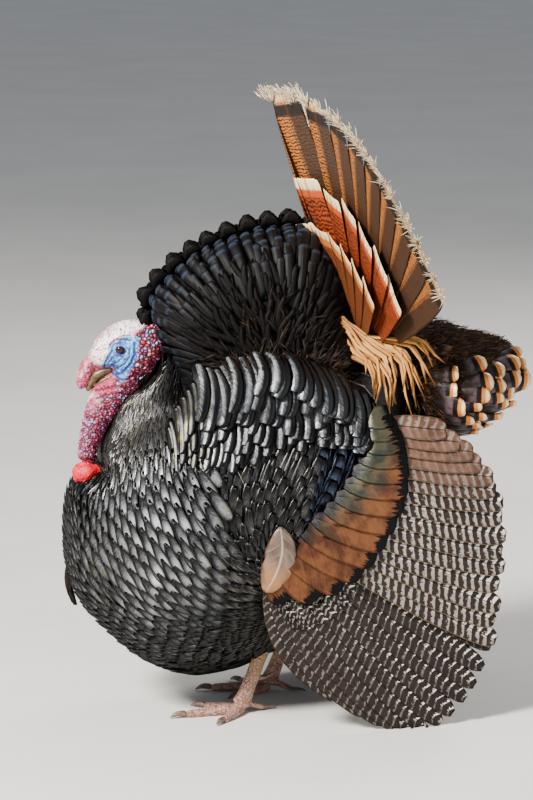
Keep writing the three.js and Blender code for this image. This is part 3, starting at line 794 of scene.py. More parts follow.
def glossy_feather(name, root, middle, second, edge, rim, edge_width, rim_width, gleam, gleam_share, metal,
                   rough, specular=0.5, band=None, tint=None, tint_by_tone=False, tip=None, painted_highlight_zone=None,
                   side_shade=0.0, outer=None):
    """A contour feather: downy root, glossy middle and a dark edge with a thin rim. Widths in mm.

    `band` and `tip` cross it, `tint` flecks it and `painted_highlight_zone` is where on the bird a painted
    highlight lies. `side_shade` darkens both its sides as painted shade, and `outer` paints shade on the
    side of that sign.
    """
    net = Vane(name, Metallic=metal, Roughness=rough, Specular_IOR_Level=specular)
    net.paint = net.steps(net.chance, middle, (0.1, 0.9, second))
    net.over(net.ramp(net.strands, 0.4, 0.75) * gleam_share, gleam)
    if tint:
        where = net.tone if tint_by_tone else net.near(net.v, 0.72, 0.12)
        net.over(where * net.ramp(net.noise(30.0), 0.36, 0.56) * 0.75, tint)
    if band:
        net.over(net.near(net.v, 0.8, 0.045) * net.tone * 0.85, band)
    if tip:
        net.over(net.ramp(net.v, 0.86, 0.93) * net.tone, tip)
    # Painted highlight: a near-white patch over a band of the body, set by its place from front to back, on
    # the middle of each feather.
    if painted_highlight_zone:
        y = net.parts(net.place())[1]
        net.over(net.near(y, *painted_highlight_zone) * net.near(net.v, 0.68, 0.34), "#dfe1e5")
    # Painted shade: both sides of each feather darkened towards the edge colour, as a rounded feather is
    # shaded there.
    if side_shade:
        net.over(net.ramp(net.aside, 0.3, 0.95) * side_shade, edge)
    # Painted shade: the side of each feather with the sign of outer is darkened to the edge colour.
    if outer:
        net.over(net.ramp(net.u * outer, 0.3, 0.45), edge)
    net.paint = net.steps(net.v, root, (0.12, 0.45, net.paint))
    shaken = net.edge + (net.strands - 0.5) * (edge_width * 0.5)
    net.over(net.ramp(shaken, edge_width * 1.25, edge_width * 0.8), edge)
    net.over(net.ramp(net.edge, rim_width * 1.3, rim_width * 0.7), rim)
    return net.done(0.35)


def downy_feather(name, root, tip, light, rough=0.75):
    net = Vane(name, Roughness=rough)
    net.paint = net.steps(net.v, root, (0.1, 0.9, tip))
    net.over(net.ramp(net.chance, 0.55, 0.95) * net.ramp(net.v, 0.3, 0.8) * 0.8, light)
    net.over(net.ramp(net.strands, 0.5, 0.8) * 0.3, light)
    return net.done(0.5, 0.0008)


def barred_feather(name, brown, white, edge, pitch, white_share, weak_side=0.3, plain_until=0.0):
    """A flight feather with ragged pale bars `pitch` mm apart, mostly on one side of its shaft.

    Feathers whose tone is below `plain_until` have faint bars.
    """
    net = Vane(name, Roughness=0.5)
    along = net.along * (1 / pitch)
    spot = net.joint(net.u * 2.6, along * 1.4, net.chance * 9.0)
    ragged = net.noise(1.0, 5.0, spot, roughness=0.75) - 0.5
    phase = net.math("FRACT", along + ragged * 2.0 - net.aside * 0.45 + net.chance * 5.0)
    bar = net.ramp(phase, 0.0, 0.09) * net.math("GREATER_THAN", ragged * 1.5 + white_share, phase)
    bar = bar * (net.ramp(net.u, -0.25, 0.05) * (1 - weak_side) + weak_side)
    net.paint = net.steps(net.noise(60.0), brown, (0.35, 0.7, "#241a15"))
    if plain_until:
        bar = bar * (net.ramp(net.tone, plain_until * 0.5, plain_until) * 0.85 + 0.15)
        plain = net.steps(net.noise(60.0), "#6b4c3c", (0.3, 0.7, "#4d362a"))
        net.over(net.ramp(net.tone, plain_until, plain_until * 0.5), plain)
    net.over(bar, white)
    net.over(net.ramp(net.strands, 0.5, 0.8) * 0.3, "#241b16")
    net.over(net.ramp(net.edge, 1.5, 0.7) * 0.8, edge)
    net.over(net.shaft * 0.85, "#17110e")
    return net.done(0.3)


def tail_feather(name, chestnut, dark, plain, cream, stripe, stripe_share, pitch, band_from, band_to,
                 cream_from):
    """A tail feather or its covert: fine dark waves on chestnut, a band near the end and a pale fringe."""
    net = Vane(name, Roughness=0.55)
    along = net.along * (1 / pitch)
    wave = net.noise(1.0, 3.0, net.joint(net.u * 5.0, along * 0.5, net.chance * 9.0))
    phase = net.math("FRACT", along + wave * 2.4)
    net.paint = net.blend(net.ramp(phase, 0.05, 0.25) * net.ramp(phase, 0.75, 0.5) * 0.9, chestnut, dark)
    net.over(net.ramp(net.u + (wave - 0.5) * 0.15, 0.02, 0.14) * stripe_share, stripe)
    net.over(net.ramp(net.strands, 0.5, 0.85) * 0.25, "#1f1712")
    ragged = net.v + (net.fine - 0.5) * 0.012
    band = net.ramp(ragged, band_from, band_from + 0.015) * net.ramp(ragged, band_to + 0.008, band_to)
    net.over(band, plain)
    comb = net.noise(1.0, 1.0, net.joint(net.u * net.width * 75.0, 0.0, net.chance))
    fringe = net.blend(net.ramp(comb, 0.52, 0.62) * net.ramp(net.v, 1.0, cream_from), cream, "#4a3524")
    net.over(net.ramp(ragged, cream_from - 0.012, cream_from + 0.012), fringe)
    net.over(net.shaft * 0.6, "#3b2617")
    return net.done(0.3)


def striped_strand(name, light, deep, dark):
    """A drooping finger: orange-cream with darker streaks along it."""
    net = Vane(name, Roughness=0.5)
    streak = net.noise(1.0, 3.0, net.joint(net.u * 3.0, net.v * 2.5, net.chance * 19.0))
    net.paint = net.steps(streak, deep, (0.3, 0.6, light))
    net.over(net.ramp(net.chance, 0.5, 0.9) * 0.4, deep)
    net.over(net.ramp(streak, 0.58, 0.72) * 0.7, dark)
    net.over(net.ramp(net.aside, 0.75, 1.0), dark)
    return net.done(0.4)


# ---- Skin -----------------------------------------------------------------------------------

COAT_DEPTH = 10.0

# Where the bare throat meets the feathers, seen from the side: height, then how far back.
THROAT_EDGE = [
    [290, -330], [296, -292], [301, -268], [309, -252], [318, -247], [341, -252], [365, -243],
    [391, -232], [413, -219], [422, -200], [435, -184], [452, -174], [480, -170],
]


def clear_throat(points, margin=0.0):
    """Moves points in front of the throat's edge back to it."""
    y_edge = read_rows(THROAT_EDGE, points[..., 2])[..., 0] + margin
    near = (points[..., 2] > 290) & (points[..., 1] < y_edge) & (points[..., 1] < -150)
    moved = points.copy()
    moved[..., 1] = np.where(near, y_edge, points[..., 1])
    return moved


def side_distance(points, path):
    """Distance in the side view from points to a path of (y, z)."""
    best = np.full(len(points), 1e9)
    where = points[:, 1:]
    for a, b in zip(path[:-1], path[1:]):
        a, b = np.array(a, float), np.array(b, float)
        t = clamp(((where - a) @ (b - a)) / ((b - a) @ (b - a)))
        best = np.minimum(best, np.linalg.norm(where - a - t[:, None] * (b - a), axis=1))
    return best


def inside(points, outline, soft):
    """How far within an outline in the side view points lie: 0 to 1 over `soft` millimetres."""
    y, z = points[:, 1], points[:, 2]
    closed = [*outline, outline[0]]
    within = np.zeros(len(points), bool)
    for (ay, az), (by, bz) in zip(closed[:-1], closed[1:]):
        if az != bz:
            within ^= ((az > z) != (bz > z)) & (y < ay + (z - az) * (by - ay) / (bz - az))
    return clamp(0.5 + np.where(within, 1, -1) * side_distance(points, closed) / soft)


def beads(points, size):
    """Beads about `size` millimetres across: their height from 0 to 1, and a number for each."""
    height, number = np.empty(len(points)), np.empty(len(points))
    for i, point in enumerate(points):
        distances, centres = noise.voronoi(Vector(point) / size)
        height[i] = distances[1] - distances[0]
        number[i] = math.sin(centres[0].dot(Vector((127.1, 311.7, 74.7)))) * 437.5 % 1.0
    return clamp(height / 0.5) ** 0.6, number


# Creases of the face in the side view: how wide and deep, then (y, z) along them.
CREASES = [
    (1.4, 1.5, [(-240, 478), (-246, 470), (-250, 460), (-249, 454)]),
    (1.2, 1.0, [(-238, 471), (-243, 464), (-247, 458)]),
    (1.2, 1.1, [(-244, 486), (-238, 492), (-228, 494), (-216, 492)]),
    (1.1, 0.9, [(-246, 480), (-240, 489), (-230, 497), (-216, 499)]),
    (1.5, 1.7, [(-211, 488), (-211, 474), (-216, 460), (-225, 450), (-234, 446)]),
    (1.2, 1.1, [(-217, 482), (-218, 470), (-224, 460), (-233, 454)]),
    (1.2, 1.0, [(-226, 470), (-232, 464), (-240, 459)]),
    (1.6, 1.6, [(-238, 446), (-230, 440), (-219, 440), (-209, 446)]),
    (1.5, 1.4, [(-262, 424), (-250, 428), (-236, 431), (-222, 428), (-210, 432)]),
    (1.4, 1.2, [(-262, 414), (-248, 420), (-232, 421), (-216, 418)]),
]
BLUE_FACE = [
    (-257, 457), (-248, 470), (-243, 486), (-228, 496), (-211, 502), (-205, 492), (-207, 470),
    (-215, 451), (-225, 438), (-236, 440), (-244, 449),
]
PALE_CROWN = [
    (-270, 466), (-262, 484), (-248, 500), (-230, 514), (-208, 520), (-196, 510), (-211, 501),
    (-228, 496), (-242, 487), (-248, 471), (-257, 458), (-264, 458),
]


LID_THICKNESS = 0.7
EYE_OPENING = {"length": 6.2, "above": 5.1, "below": 4.8, "tilt": 0.18}
LARGE_BEAD, SMALL_BEAD = 5.0, 3.4


def bell(value, middle, spread):
    return np.exp(-(((value - middle) / spread) ** 2))


def open_eye(moved, side):
    """Opens the skin over one eye, with a lid and a groove round it. Returns the creases that it makes.

    `flat` is the distance from the eye's middle in the side view, 1 at the opening's edge.
    """
    offset = moved - EYE_CENTRE * [side, 1, 1]
    outward = offset[:, 0] * side > 0
    tilt = offset[:, 2] + offset[:, 1] * EYE_OPENING["tilt"]
    half_height = np.where(tilt > 0, EYE_OPENING["above"], EYE_OPENING["below"])
    flat = np.hypot(offset[:, 1] / EYE_OPENING["length"], tilt / half_height)
    over = (EYE_RADIUS + LID_THICKNESS) ** 2 - offset[:, 1] ** 2 - offset[:, 2] ** 2
    lid = outward & (flat < 1.75)
    goal = side * (EYE_CENTRE[0] + np.sqrt(np.maximum(over, 0)) + 0.9 * bell(flat, 1.3, 0.18))
    hug = bell(np.maximum(flat, 1.0), 1.0, 0.42)
    moved[lid, 0] = mix(moved[lid, 0], goal[lid], hug[lid])
    ring = outward & (flat < 2.4)
    groove = np.where(ring, 0.9 * bell(flat, 1.75, 0.18), 0)
    moved[:, 0] -= side * groove
    hole = outward & (flat < 0.93)
    moved[hole, 0] = side * (EYE_CENTRE[0] + EYE_RADIUS * 0.35)
    # The groove and the lid's edge go into the creases, which the material darkens as painted shade.
    return np.maximum(groove, np.where(outward, 1.5 * bell(flat, 1.0, 0.13), 0))


def deform_head(points, normals):
    """Folds, beads, lids and mouth of the bare skin, with what its material reads at each point."""
    x, y, z = points.T
    shaken = points + np.stack([vector_noise(points, 8, 7)] * 3, 1) * 3
    blue, crown = inside(shaken, BLUE_FACE, 4.0), inside(shaken, PALE_CROWN, 6.0)
    scarlet = clamp((331 - shaken[:, 2]) / 7)
    smooth = np.maximum(blue, crown * 0.75)
    throat = clamp((440 - z) / 16) * clamp((z - 322) / 10)
    face = np.maximum(blue, crown)
    height, number = beads(points, LARGE_BEAD)
    small_height, small_number = beads(points, SMALL_BEAD)
    share = clamp((z - 425) / 25)
    height, number = mix(small_height, height, share), np.where(share > 0.5, number, small_number)
    relief = mix(2.2, 3.4, share) * (1 - smooth) * (1 - 0.6 * scarlet)
    middle = vector_noise(points, 5.2, 1)
    big = vector_noise(points, 12, 3)
    bumps = (height - 0.5) * relief + middle * 0.5 + big * (0.6 * throat + 2.2 * scarlet)
    wrinkles = np.sin((z + 0.3 * y) / 2.6 + 2.5 * middle) * (0.45 * throat + 0.3 * crown)
    # The creases sink the skin, and the material darkens them too as painted shade.
    crease = np.zeros(len(points))
    for width, depth, path in CREASES:
        near = bell(side_distance(points, path), 0.0, width) * clamp((np.abs(x) - 4) / 6)
        crease = np.maximum(crease, near * depth)
    moved = points + normals * (bumps + wrinkles - crease - 0.3)[:, None]
    mouth = clamp((-230 - y) / 6) * clamp((459 - z) / 4) * clamp((z - 426) / 8) * clamp((y + 270) / 5)
    moved[:, 0] *= mix(1, 0.5, mouth)
    for side in (-1, 1):
        crease = np.maximum(crease, open_eye(moved, side))
    return moved, {
        "crease": crease, "blue": blue, "crown": crown, "scarlet": scarlet, "bead": number,
        # gap: how low a point lies between the beads, which the material darkens as painted shade
        "gap": (1 - height) * (1 - face) * (1 - scarlet), "bare": np.ones(len(points)),
    }


def head_mesh():
    """The bare head and neck, with its marks for the material at each vertex."""
    mesh = remeshed("head_fine", [
        tube_mesh(HEAD_ROWS, 48, 36, ends=(0.12, 0.1)),
        tube_mesh(BARE_NECK_ROWS, 48, 40, ends=(0.12, 0.08)),
        tube_mesh(WATTLE_ROWS, 48, 24, ends=(0.3, 0.42), swell=lambda a, t: 1 + 0.06 * np.cos(5 * a)),
        tube_mesh(SNOOD_ROWS, 32, 30),
    ], voxel=0.9, smoothing=8)
    normals = read_vectors(mesh.vertex_normals, "vector")
    points, marks = deform_head(mesh_points(mesh), normals)
    move_points(mesh, points)
    return mesh, marks


def body_mesh():
    """The body under its coat."""
    mesh = remeshed("body_coarse", [
        trunk_mesh(COAT_DEPTH),
        tube_mesh(NECK_ROWS, 48, 40, inset=COAT_DEPTH * 0.7),
        *[tube_mesh(thigh_rows(foot), 32, 24, inset=COAT_DEPTH * 0.8) for foot in FEET.values()],
    ], voxel=4.0, smoothing=8)
    move_points(mesh, clear_throat(mesh_points(mesh), margin=9.0))
    return mesh


def legs_mesh():
    """Shanks and toes, flat where they stand."""
    parts = []
    for foot in FEET.values():
        parts.append(tube_mesh(shank_rows(foot), 24, 30, ends=(0.06, 0.06)))
        for toe in TOES.values():
            parts.append(tube_mesh(toe_rows(foot, *toe), 20, 20, side=toe_side(foot, toe[0])))
    mesh = remeshed("legs_fine", parts, voxel=1.3, smoothing=3)
    points = mesh_points(mesh)
    points[:, 2] = np.maximum(points[:, 2], FLOOR)
    move_points(mesh, points)
    return mesh


SKIN_MAP = {"axis_y": -215.0, "split": 295.0, "low_height": 303.0, "high_height": 230.0}


def build_skin():
    """One skin of head, body and legs."""
    head, marks = head_mesh()
    others = (body_mesh(), legs_mesh())
    for label, values in marks.items():
        head.attributes.new(label, "FLOAT", "POINT").data.foreach_set("value", values.astype(np.float32))
        for mesh in others:
            mesh.attributes.new(label, "FLOAT", "POINT")
    skin = new_object("skin", head)
    for mesh in others:
        other = new_object("cutter", mesh)
        union = skin.modifiers.new("union", "BOOLEAN")
        union.operation = "UNION"
        union.solver = "MANIFOLD"
        union.object = other
        merged = bpy.data.meshes.new_from_object(skin.evaluated_get(bpy.context.evaluated_depsgraph_get()))
        skin.modifiers.clear()
        skin.data = merged
        bpy.data.objects.remove(other)
    shade_smooth(skin.data)
    x, y, z = mesh_points(skin.data).T
    turn = np.arctan2(x, y - SKIN_MAP["axis_y"]) / (2 * np.pi) + 0.5
    low = (z - FLOOR) / SKIN_MAP["low_height"] * 0.48
    high = 0.5 + 0.5 * (z - SKIN_MAP["split"]) / SKIN_MAP["high_height"]
    add_bake_map(skin.data, stack(turn, np.where(z > SKIN_MAP["split"], high, low)))
    print(f"skin: {len(skin.data.polygons)} faces")
    return skin


def skin_material():
    net = Net("bare_skin", Roughness=0.44, Subsurface_Weight=0.04, Subsurface_Radius=(0.004, 0.002, 0.001))
    _, y, z = net.parts(net.place())
    marks = ("bead", "crease", "gap", "blue", "crown", "scarlet", "bare")
    bead, crease, gap, in_blue, in_crown, in_scarlet, bare = map(net.stored, marks)
    patches, lumps = net.noise(70.0, 4.0), net.noise(330.0)
    nape = net.steps(bead, "#9d1430", (0.36, 0.38, "#d9a3b6"), (0.54, 0.56, "#b92443"),
                     (0.7, 0.72, "#7088bd"), (0.84, 0.86, "#641029"))
    nape = net.steps(patches, nape, (0.55, 0.68, "#a81a36"))
    low = net.steps(bead, "#9c1440", (0.3, 0.34, "#cf6a8c"), (0.55, 0.6, "#b795c6"), (0.8, 0.84, "#86132e"))
    low = net.steps(patches, low, (0.55, 0.7, "#9a1834"))
    net.paint = net.steps(z, low, (0.43, 0.455, nape))
    # Painted shade: the gaps between the beads darkened to deep maroon.
    net.over(net.ramp(gap, 0.15, 0.6) * 0.92, "#33041a")
    blue = net.steps(patches, "#0a3f90", (0.42, 0.6, "#3f93d8"))
    net.over(in_blue, net.blend(net.ramp(lumps, 0.5, 0.66) * 0.7, blue, "#cfe8f6"))
    crown = net.steps(lumps, "#a34c66", (0.38, 0.5, "#f6f3f5"))
    net.over(in_crown, net.blend(net.ramp(patches, 0.55, 0.7) * 0.6, crown, "#c9607c"))
    snood = net.steps(patches, "#b23a5c", (0.4, 0.6, "#e6aebb"))
    nose = net.ramp(y, -0.252, -0.268) * net.ramp(z, 0.4, 0.42) * net.ramp(z, 0.486, 0.466)
    net.over(nose, net.blend(net.ramp(lumps, 0.5, 0.6) * 0.75, snood, "#6b1c40"))
    lips = net.ramp(y, -0.234, -0.242) * net.ramp(y, -0.272, -0.266)
    lips = lips * net.ramp(z, 0.466, 0.46) * net.ramp(z, 0.424, 0.434)
    net.over(lips, net.steps(lumps, "#8f1e38", (0.4, 0.6, "#c43c58")))
    net.over(in_scarlet, net.steps(lumps, "#b80016", (0.4, 0.7, "#e4152f")))
    # Painted shade: the creases, the groove round each eye and the lid's edge darkened, deep blue within the
    # blue face.
    net.over(net.ramp(crease, 0.25, 0.85) * 0.92, net.blend(in_blue, "#5a1228", "#0d2f6b"))
    scutes = net.node("TexVoronoi", {"Vector": net.place(), "Scale": 230.0}, feature="DISTANCE_TO_EDGE")
    leg = net.steps(net.noise(120.0), "#c4948a", (0.4, 0.65, "#a37a60"))
    leg = net.steps(z, leg, (0.03, 0.07, "#a3875c"))
    leg = net.steps(scutes, leg, (0.1, 0.02, "#6d4c3c"))
    ankle = net.ramp(z, 0.16, 0.14)
    net.over(ankle, leg)
    down = net.steps(net.noise(400.0), "#0c0a09", (0.3, 0.7, "#181310"))
    net.paint = net.blend(net.math("MAXIMUM", bare, ankle), down, net.paint)
    return net.done(lumps + net.ramp(scutes, 0.0, 0.12) * ankle, 0.8, 0.001)


skin = build_skin()
skin.data.materials.clear()
skin.data.materials.append(skin_material())
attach(skin, "root")
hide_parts("head", "neck_bare", "wattle", "snood", "trunk", "neck")
for side in FEET:
    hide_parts(f"thigh_{side}", f"shank_{side}", *[f"toe_{toe}_{side}" for toe in TOES])

# ---- Trunk and neck plumage -----------------------------------------------------------------

guide = remeshed("guide", [trunk_mesh(), tube_mesh(NECK_ROWS, 48, 40)], voxel=5.0, smoothing=14)
guide_tree = BVHTree.FromPolygons(
    [tuple(point) for point in mesh_points(guide)], [tuple(face.vertices) for face in guide.polygons])

# Planes across the body: where each meets its front or lower line, then its rear or upper line.
BODY_PLANES = [
    [0.0, -190, 478, -152, 474], [0.08, -230, 402, -142, 430], [0.16, -258, 335, -100, 405],
    [0.24, -282, 270, -10, 385], [0.33, -290, 205, 90, 350], [0.43, -272, 135, 150, 310],
    [0.53, -228, 85, 172, 280], [0.63, -165, 55, 180, 270], [0.74, -85, 45, 182, 290],
    [0.85, 0, 85, 182, 320], [0.93, 70, 160, 180, 345], [1.0, 140, 330, 178, 362],
]
PLANES, COLUMNS = 150, 96
# Where rays start in each plane: its share from the front to the rear line.
ORIGIN_SHARE = [[0, 0.5], [0.1, 0.5], [0.24, 0.3], [0.5, 0.32], [0.78, 0.5], [1, 0.5]]


def body_grid():
    """Where rays in each plane meet the guide, column by column: 0 is the left side, then up."""
    rows = read_rows(BODY_PLANES, np.linspace(0, 1, PLANES))
    shares = read_rows(ORIGIN_SHARE, np.linspace(0, 1, PLANES))[:, 0]
    angles = np.linspace(0, 2 * np.pi, COLUMNS, endpoint=False)
    grid = np.empty((PLANES, COLUMNS, 3))
    for i, (fy, fz, by, bz) in enumerate(rows):
        front, back = np.array([0, fy, fz]), np.array([0, by, bz])
        origin = mix(front, back, shares[i])
        upward = unit(back - front)
        for j, angle in enumerate(angles):
            ray = math.cos(angle) * ALONG_X + math.sin(angle) * upward
            hit = guide_tree.ray_cast(Vector(origin), Vector(ray))[0]
            grid[i, j] = hit if hit is not None else origin + ray * 20
    grid = clear_throat(grid, margin=2.0)
    for _ in range(3):
        around = (np.roll(grid, 1, 1) + np.roll(grid, -1, 1)) / 2
        grid[1:-1] = grid[1:-1] * 0.5 + (grid[:-2] + grid[2:]) * 0.125 + around[1:-1] * 0.25
    return grid


def grid_place(grid):
    """place(s, t) over a grid: s from 0 to 1 along its rows and t from 0 to 1 round its columns."""
    count, around = grid.shape[:2]

    def place(s, t):
        s, t = paired(s, t)
        a = clamp(s) * (count - 1)
        i = np.clip(np.floor(a).astype(int), 0, count - 2)
        a = (a - i)[..., None]
        b = t * around
        j = np.floor(b).astype(int)
        b = (b - j)[..., None]
        j, k = j % around, (j + 1) % around
        return mix(mix(grid[i, j], grid[i, k], b), mix(grid[i + 1, j], grid[i + 1, k], b), a)

    return place


body_place = grid_place(body_grid())

ARM_FRONT = [[0, -60, 190], [0.25, -112, 236], [0.5, -143, 296], [0.75, -146, 350], [1, -116, 408]]
ARM_REAR = [[0, -36, 186], [0.25, 22, 236], [0.5, 66, 296], [0.75, 96, 352], [1, 94, 410]]
ARM_BY_HEIGHT = [[z, y] for _, y, z in ARM_FRONT]


UNDER_DOME = {"radius": 112, "half_width": 85, "above": 330}
UNDER_ARM = {"behind_edge": 16, "half_width": 60, "above": 196}
UNDER_TAIL = {"behind": -40, "half_width": 40, "above": 200, "below": 400}


def hidden(points):
    """True where the raised back feathers, shoulders or wings hide the body."""
    x, y, z = points.T

    def out_of(cover):
        return (np.abs(x) > cover["half_width"]) & (z > cover["above"])

    in_dome = np.hypot(y - DOME["y"], z - DOME["z"]) < UNDER_DOME["radius"]
    under_dome = in_dome & (np.abs(x) < UNDER_DOME["half_width"]) & (z > UNDER_DOME["above"])
    arm_edge = read_rows(ARM_BY_HEIGHT, z)[:, 0] + UNDER_ARM["behind_edge"]
    under_tail = (y > UNDER_TAIL["behind"]) & (z < UNDER_TAIL["below"]) & out_of(UNDER_TAIL)
    return under_dome | under_tail | ((y > arm_edge) & out_of(UNDER_ARM))


def lay_body():
    """Hackles, breast, belly and flanks, woven down the body in columns."""
    plumage = {name: Plumage(12 + n) for n, name in enumerate(("neck", "breast", "belly", "flank"))}
    maker = plumage["breast"].random

    def roots(columns, pitch, s_range, jitter):
        s, t = woven(body_place, columns, pitch, maker, s_range, jitter=jitter)
        here = body_place(s, t)
        seen = ~hidden(here)
        return s[seen], t[seen], here[seen]

    hackle_end = 0.175
    s, t, here = roots(104, lambda p: 15.0, (0.0, hackle_end), 0.2)
    low_end = clamp((s - 0.1) / 0.07)
    near_skin = clamp(1 - (here[:, 1] - read_rows(THROAT_EDGE, here[:, 2])[:, 0]) / 60)
    plumage["neck"].lay(body_place, s, t, mix(92, 62, low_end), mix(2.2, 2.8, low_end), -4,
                        mix(1.0, 5.0, low_end), "hackle", camber=0.5, splay=0.02, lift_spread=0.4,
                        thickness=0.6, size_spread=0.12, tone=near_skin, bank=0.25,
                        skew=-0.12 * np.cos(2 * np.pi * t))

    def pitch(points):
        return mix(29.0, 20.0, clamp((170 - points[..., 2]) / 60))

    columns = 86
    s, t, here = roots(columns, pitch, (hackle_end - 0.012, 0.975), 0.07)
    _, y, z = here.T
    girth = np.linalg.norm(body_place(s, t + 0.005) - body_place(s, t - 0.005), axis=1) * 100
    column = girth / columns
    flank = (y > -122) & (z < 240) & (z > 92)
    belly = ((z < 78) | (y > 30)) & ~flank
    low = (z < 158) & ~flank & ~belly
    breast = ~flank & ~belly & ~low
    aslant = np.cos(2 * np.pi * t) * clamp((y + 200) / 90)
    for part, shape, length, share, tone in ((breast, "round", 52, 0.68, 0.0), (low, "square", 40, 0.8, 1.0)):
        plumage["breast"].lay(body_place, s[part], t[part], length, (column * share)[part], -8, 2.5, shape,
                              skew=(0.05 * aslant)[part], camber=0.6, columns=9, splay=0.035, lift_spread=0.7,
                              thickness=0.9, size_spread=0.08, tone=tone, belly=2.5, bank=0.15)
    plumage["belly"].lay(body_place, s[belly], t[belly], 40, (column * 0.85)[belly], -8, 1.0, "round",
                         camber=0.3, splay=0.14, lift_spread=2.2, size_spread=0.14, ragged=0.5)
    for turn in (0.0, 0.5):
        plumage["flank"].lay(body_place, s[flank] + turn * 0.012, t[flank] + turn / columns, 50,
                             (column * 0.5)[flank], -8, 1.6, "round", skew=(0.3 * aslant)[flank], camber=0.45,
                             splay=0.06, lift_spread=0.9, size_spread=0.1, tone=clamp((z - 100) / 60)[flank],
                             belly=1.0, bank=0.15)
    return plumage


body = lay_body()
body["neck"].finish("neck_hackles", glossy_feather(
    "hackle", "#504e4d", "#6a6866", "#85827e", "#0c0b0b", "#141312", 0.55, 0.2, "#dad9d6", 0.55,
    tint="#85761c", tint_by_tone=True, metal=0.62, rough=0.3), "neck_feathers")
# The breast's feathers carry a painted highlight over a band of the body, and painted shade on their sides.
body["breast"].finish("breast_feathers", glossy_feather(
    "breast", "#040404", "#4a4b4e", "#2e2d2b", "#040404", "#2c2c2c", 1.3, 0.25, "#aeb0b5", 0.5,
    band="#141415", tint="#6f692c", metal=0.45, rough=0.27, painted_highlight_zone=(-0.19, 0.1), side_shade=0.85), "body_feathers")
body["belly"].finish("belly_feathers", downy_feather(
    "belly", "#0b0908", "#191411", "#2f2620", 0.6), "body_feathers")
body["flank"].finish("flank_feathers", glossy_feather(
    "flank", "#080707", "#3a3938", "#55514b", "#060606", "#6a6762", 1.2, 0.3, "#a9a7a3", 0.5,
    metal=0.68, rough=0.3), "body_feathers")

# ---- Raised back feathers -------------------------------------------------------------------


DOME_SPAN = (-40, 240)  # degrees from the rear over the top to the front
DOME_EDGE = 0.9999


def dome_place(side):
    def place(s, t):
        """s from the middle to the rim, t round it from the rear over the top to the front."""
        s, t = paired(s, t)
        ring = clamp(s, 0, DOME_EDGE)
        around = mix(*DOME_SPAN, t)
        radius = read_rows(DOME_ROWS, (around + 90) % 360 - 90)[..., 0]
        reach = radius * ring ** 0.85 + radius * np.maximum(s - DOME_EDGE, 0)
        return stack(
            side * DOME["half_width"] * np.sqrt(1 - ring ** 2) ** 0.9,
            DOME["y"] + np.cos(np.radians(around)) * reach,
            DOME["z"] + np.sin(np.radians(around)) * reach,
        )
    return place


strands = Plumage(21)
rim = Plumage(22)
back_down = Plumage(23)
RIM_ROWS = (
    (0.56, 54, 7.4, -3.0, 52), (0.67, 48, 7.8, -2.0, 50), (0.77, 40, 8.2, -1.0, 50), (0.86, 30, 8.4, 0.0, 50),
    (0.93, 17, 8.4, 0.0, 50), (0.975, 10, 8.4, 0.0, 50),
)
for side in (-1, 1):
    place = dome_place(side)
    s, t = lattice(np.linspace(0.1, 0.62, 8), np.linspace(0.02, 0.98, 56), strands.random, 0.2)
    strands.lay(place, s, t, mix(52, 46, s), mix(4.2, 6.2, s), -10, -3.0, "strand", camber=0.4, splay=0.18,
                lift_spread=2.5, order=-side, bow=0.08, bank=-0.2, size_spread=0.14)
    s, t = lattice(np.linspace(0.08, 0.94, 10), np.linspace(0.0, 1.0, 38), strands.random, 0.05)
    strands.lay(place, s, t, 46, 17, -15, -13, "hair", camber=0.1, order=-side)
    for ring, length, width, high, count in RIM_ROWS:
        t = np.linspace(0.02, 0.98, count) + rim.random.normal(0, 0.002, count)
        rim.lay(place, np.full(count, ring), t, length, width, -9, high, "square", camber=0.3, splay=0.05,
                lift_spread=1.4, order=-side, bank=-0.25, columns=7, size_spread=0.06,
                tone=clamp((ring - 0.5) * 3))
    s, t = lattice(np.linspace(0.1, 0.5, 12), np.linspace(0.0, 1.0, 130), back_down.random, 0.4)
    here = place(s, t)
    low = (here[:, 2] < 470) | (back_down.random.random(len(s)) < 0.12)
    back_down.lay(place, s[low], t[low], 24, 0.7, -4, 7.0, "hair", columns=3, splay=0.5, lift_spread=3.5,
                  order=-side, size_spread=0.25, thickness=0.7)
# Painted shade: the raised back feathers' own black is deepened to near black, for the shade among them.
strands.finish("mantle_strands", glossy_feather(
    "mantle_strand", "#030202", "#070505", "#0a0706", "#020202", "#241f1c", 0.8, 0.25, "#151110", 0.3,
    metal=0.0, rough=0.6, specular=0.1), "shoulder_feathers", ["mantle"])
rim.finish("mantle_rim", glossy_feather(
    "mantle_rim", "#030303", "#060505", "#090808", "#08090b", "#3a3c42", 0.9, 0.25, "#121215", 0.35,
    metal=0.0, rough=0.5, tip="#232a36", specular=0.12), "shoulder_feathers")
back_down.finish("back_down", downy_feather(
    "back_down", "#120c0a", "#241913", "#5e4838"), "shoulder_feathers")

# ---- Shoulders and wings --------------------------------------------------------------------


def between(first, second, lift, side, bow=0.0, lowest=None):
    """place(s, t) on the wing: s from the first line to the second, t along both."""
    def place(s, t):
        s, t = paired(s, t)
        yz = mix(read_rows(first, t), read_rows(second, t), s[..., None])
        bowed = bow * np.sin(np.pi * s) * t * t
        y, z = yz[..., 0] - bowed, yz[..., 1] - bowed * 0.4
        if lowest is not None:
            z = np.maximum(z, lowest)
        return stack(side * (wing_face(y, z) + lift(z, s, t)), y, z)
    return place


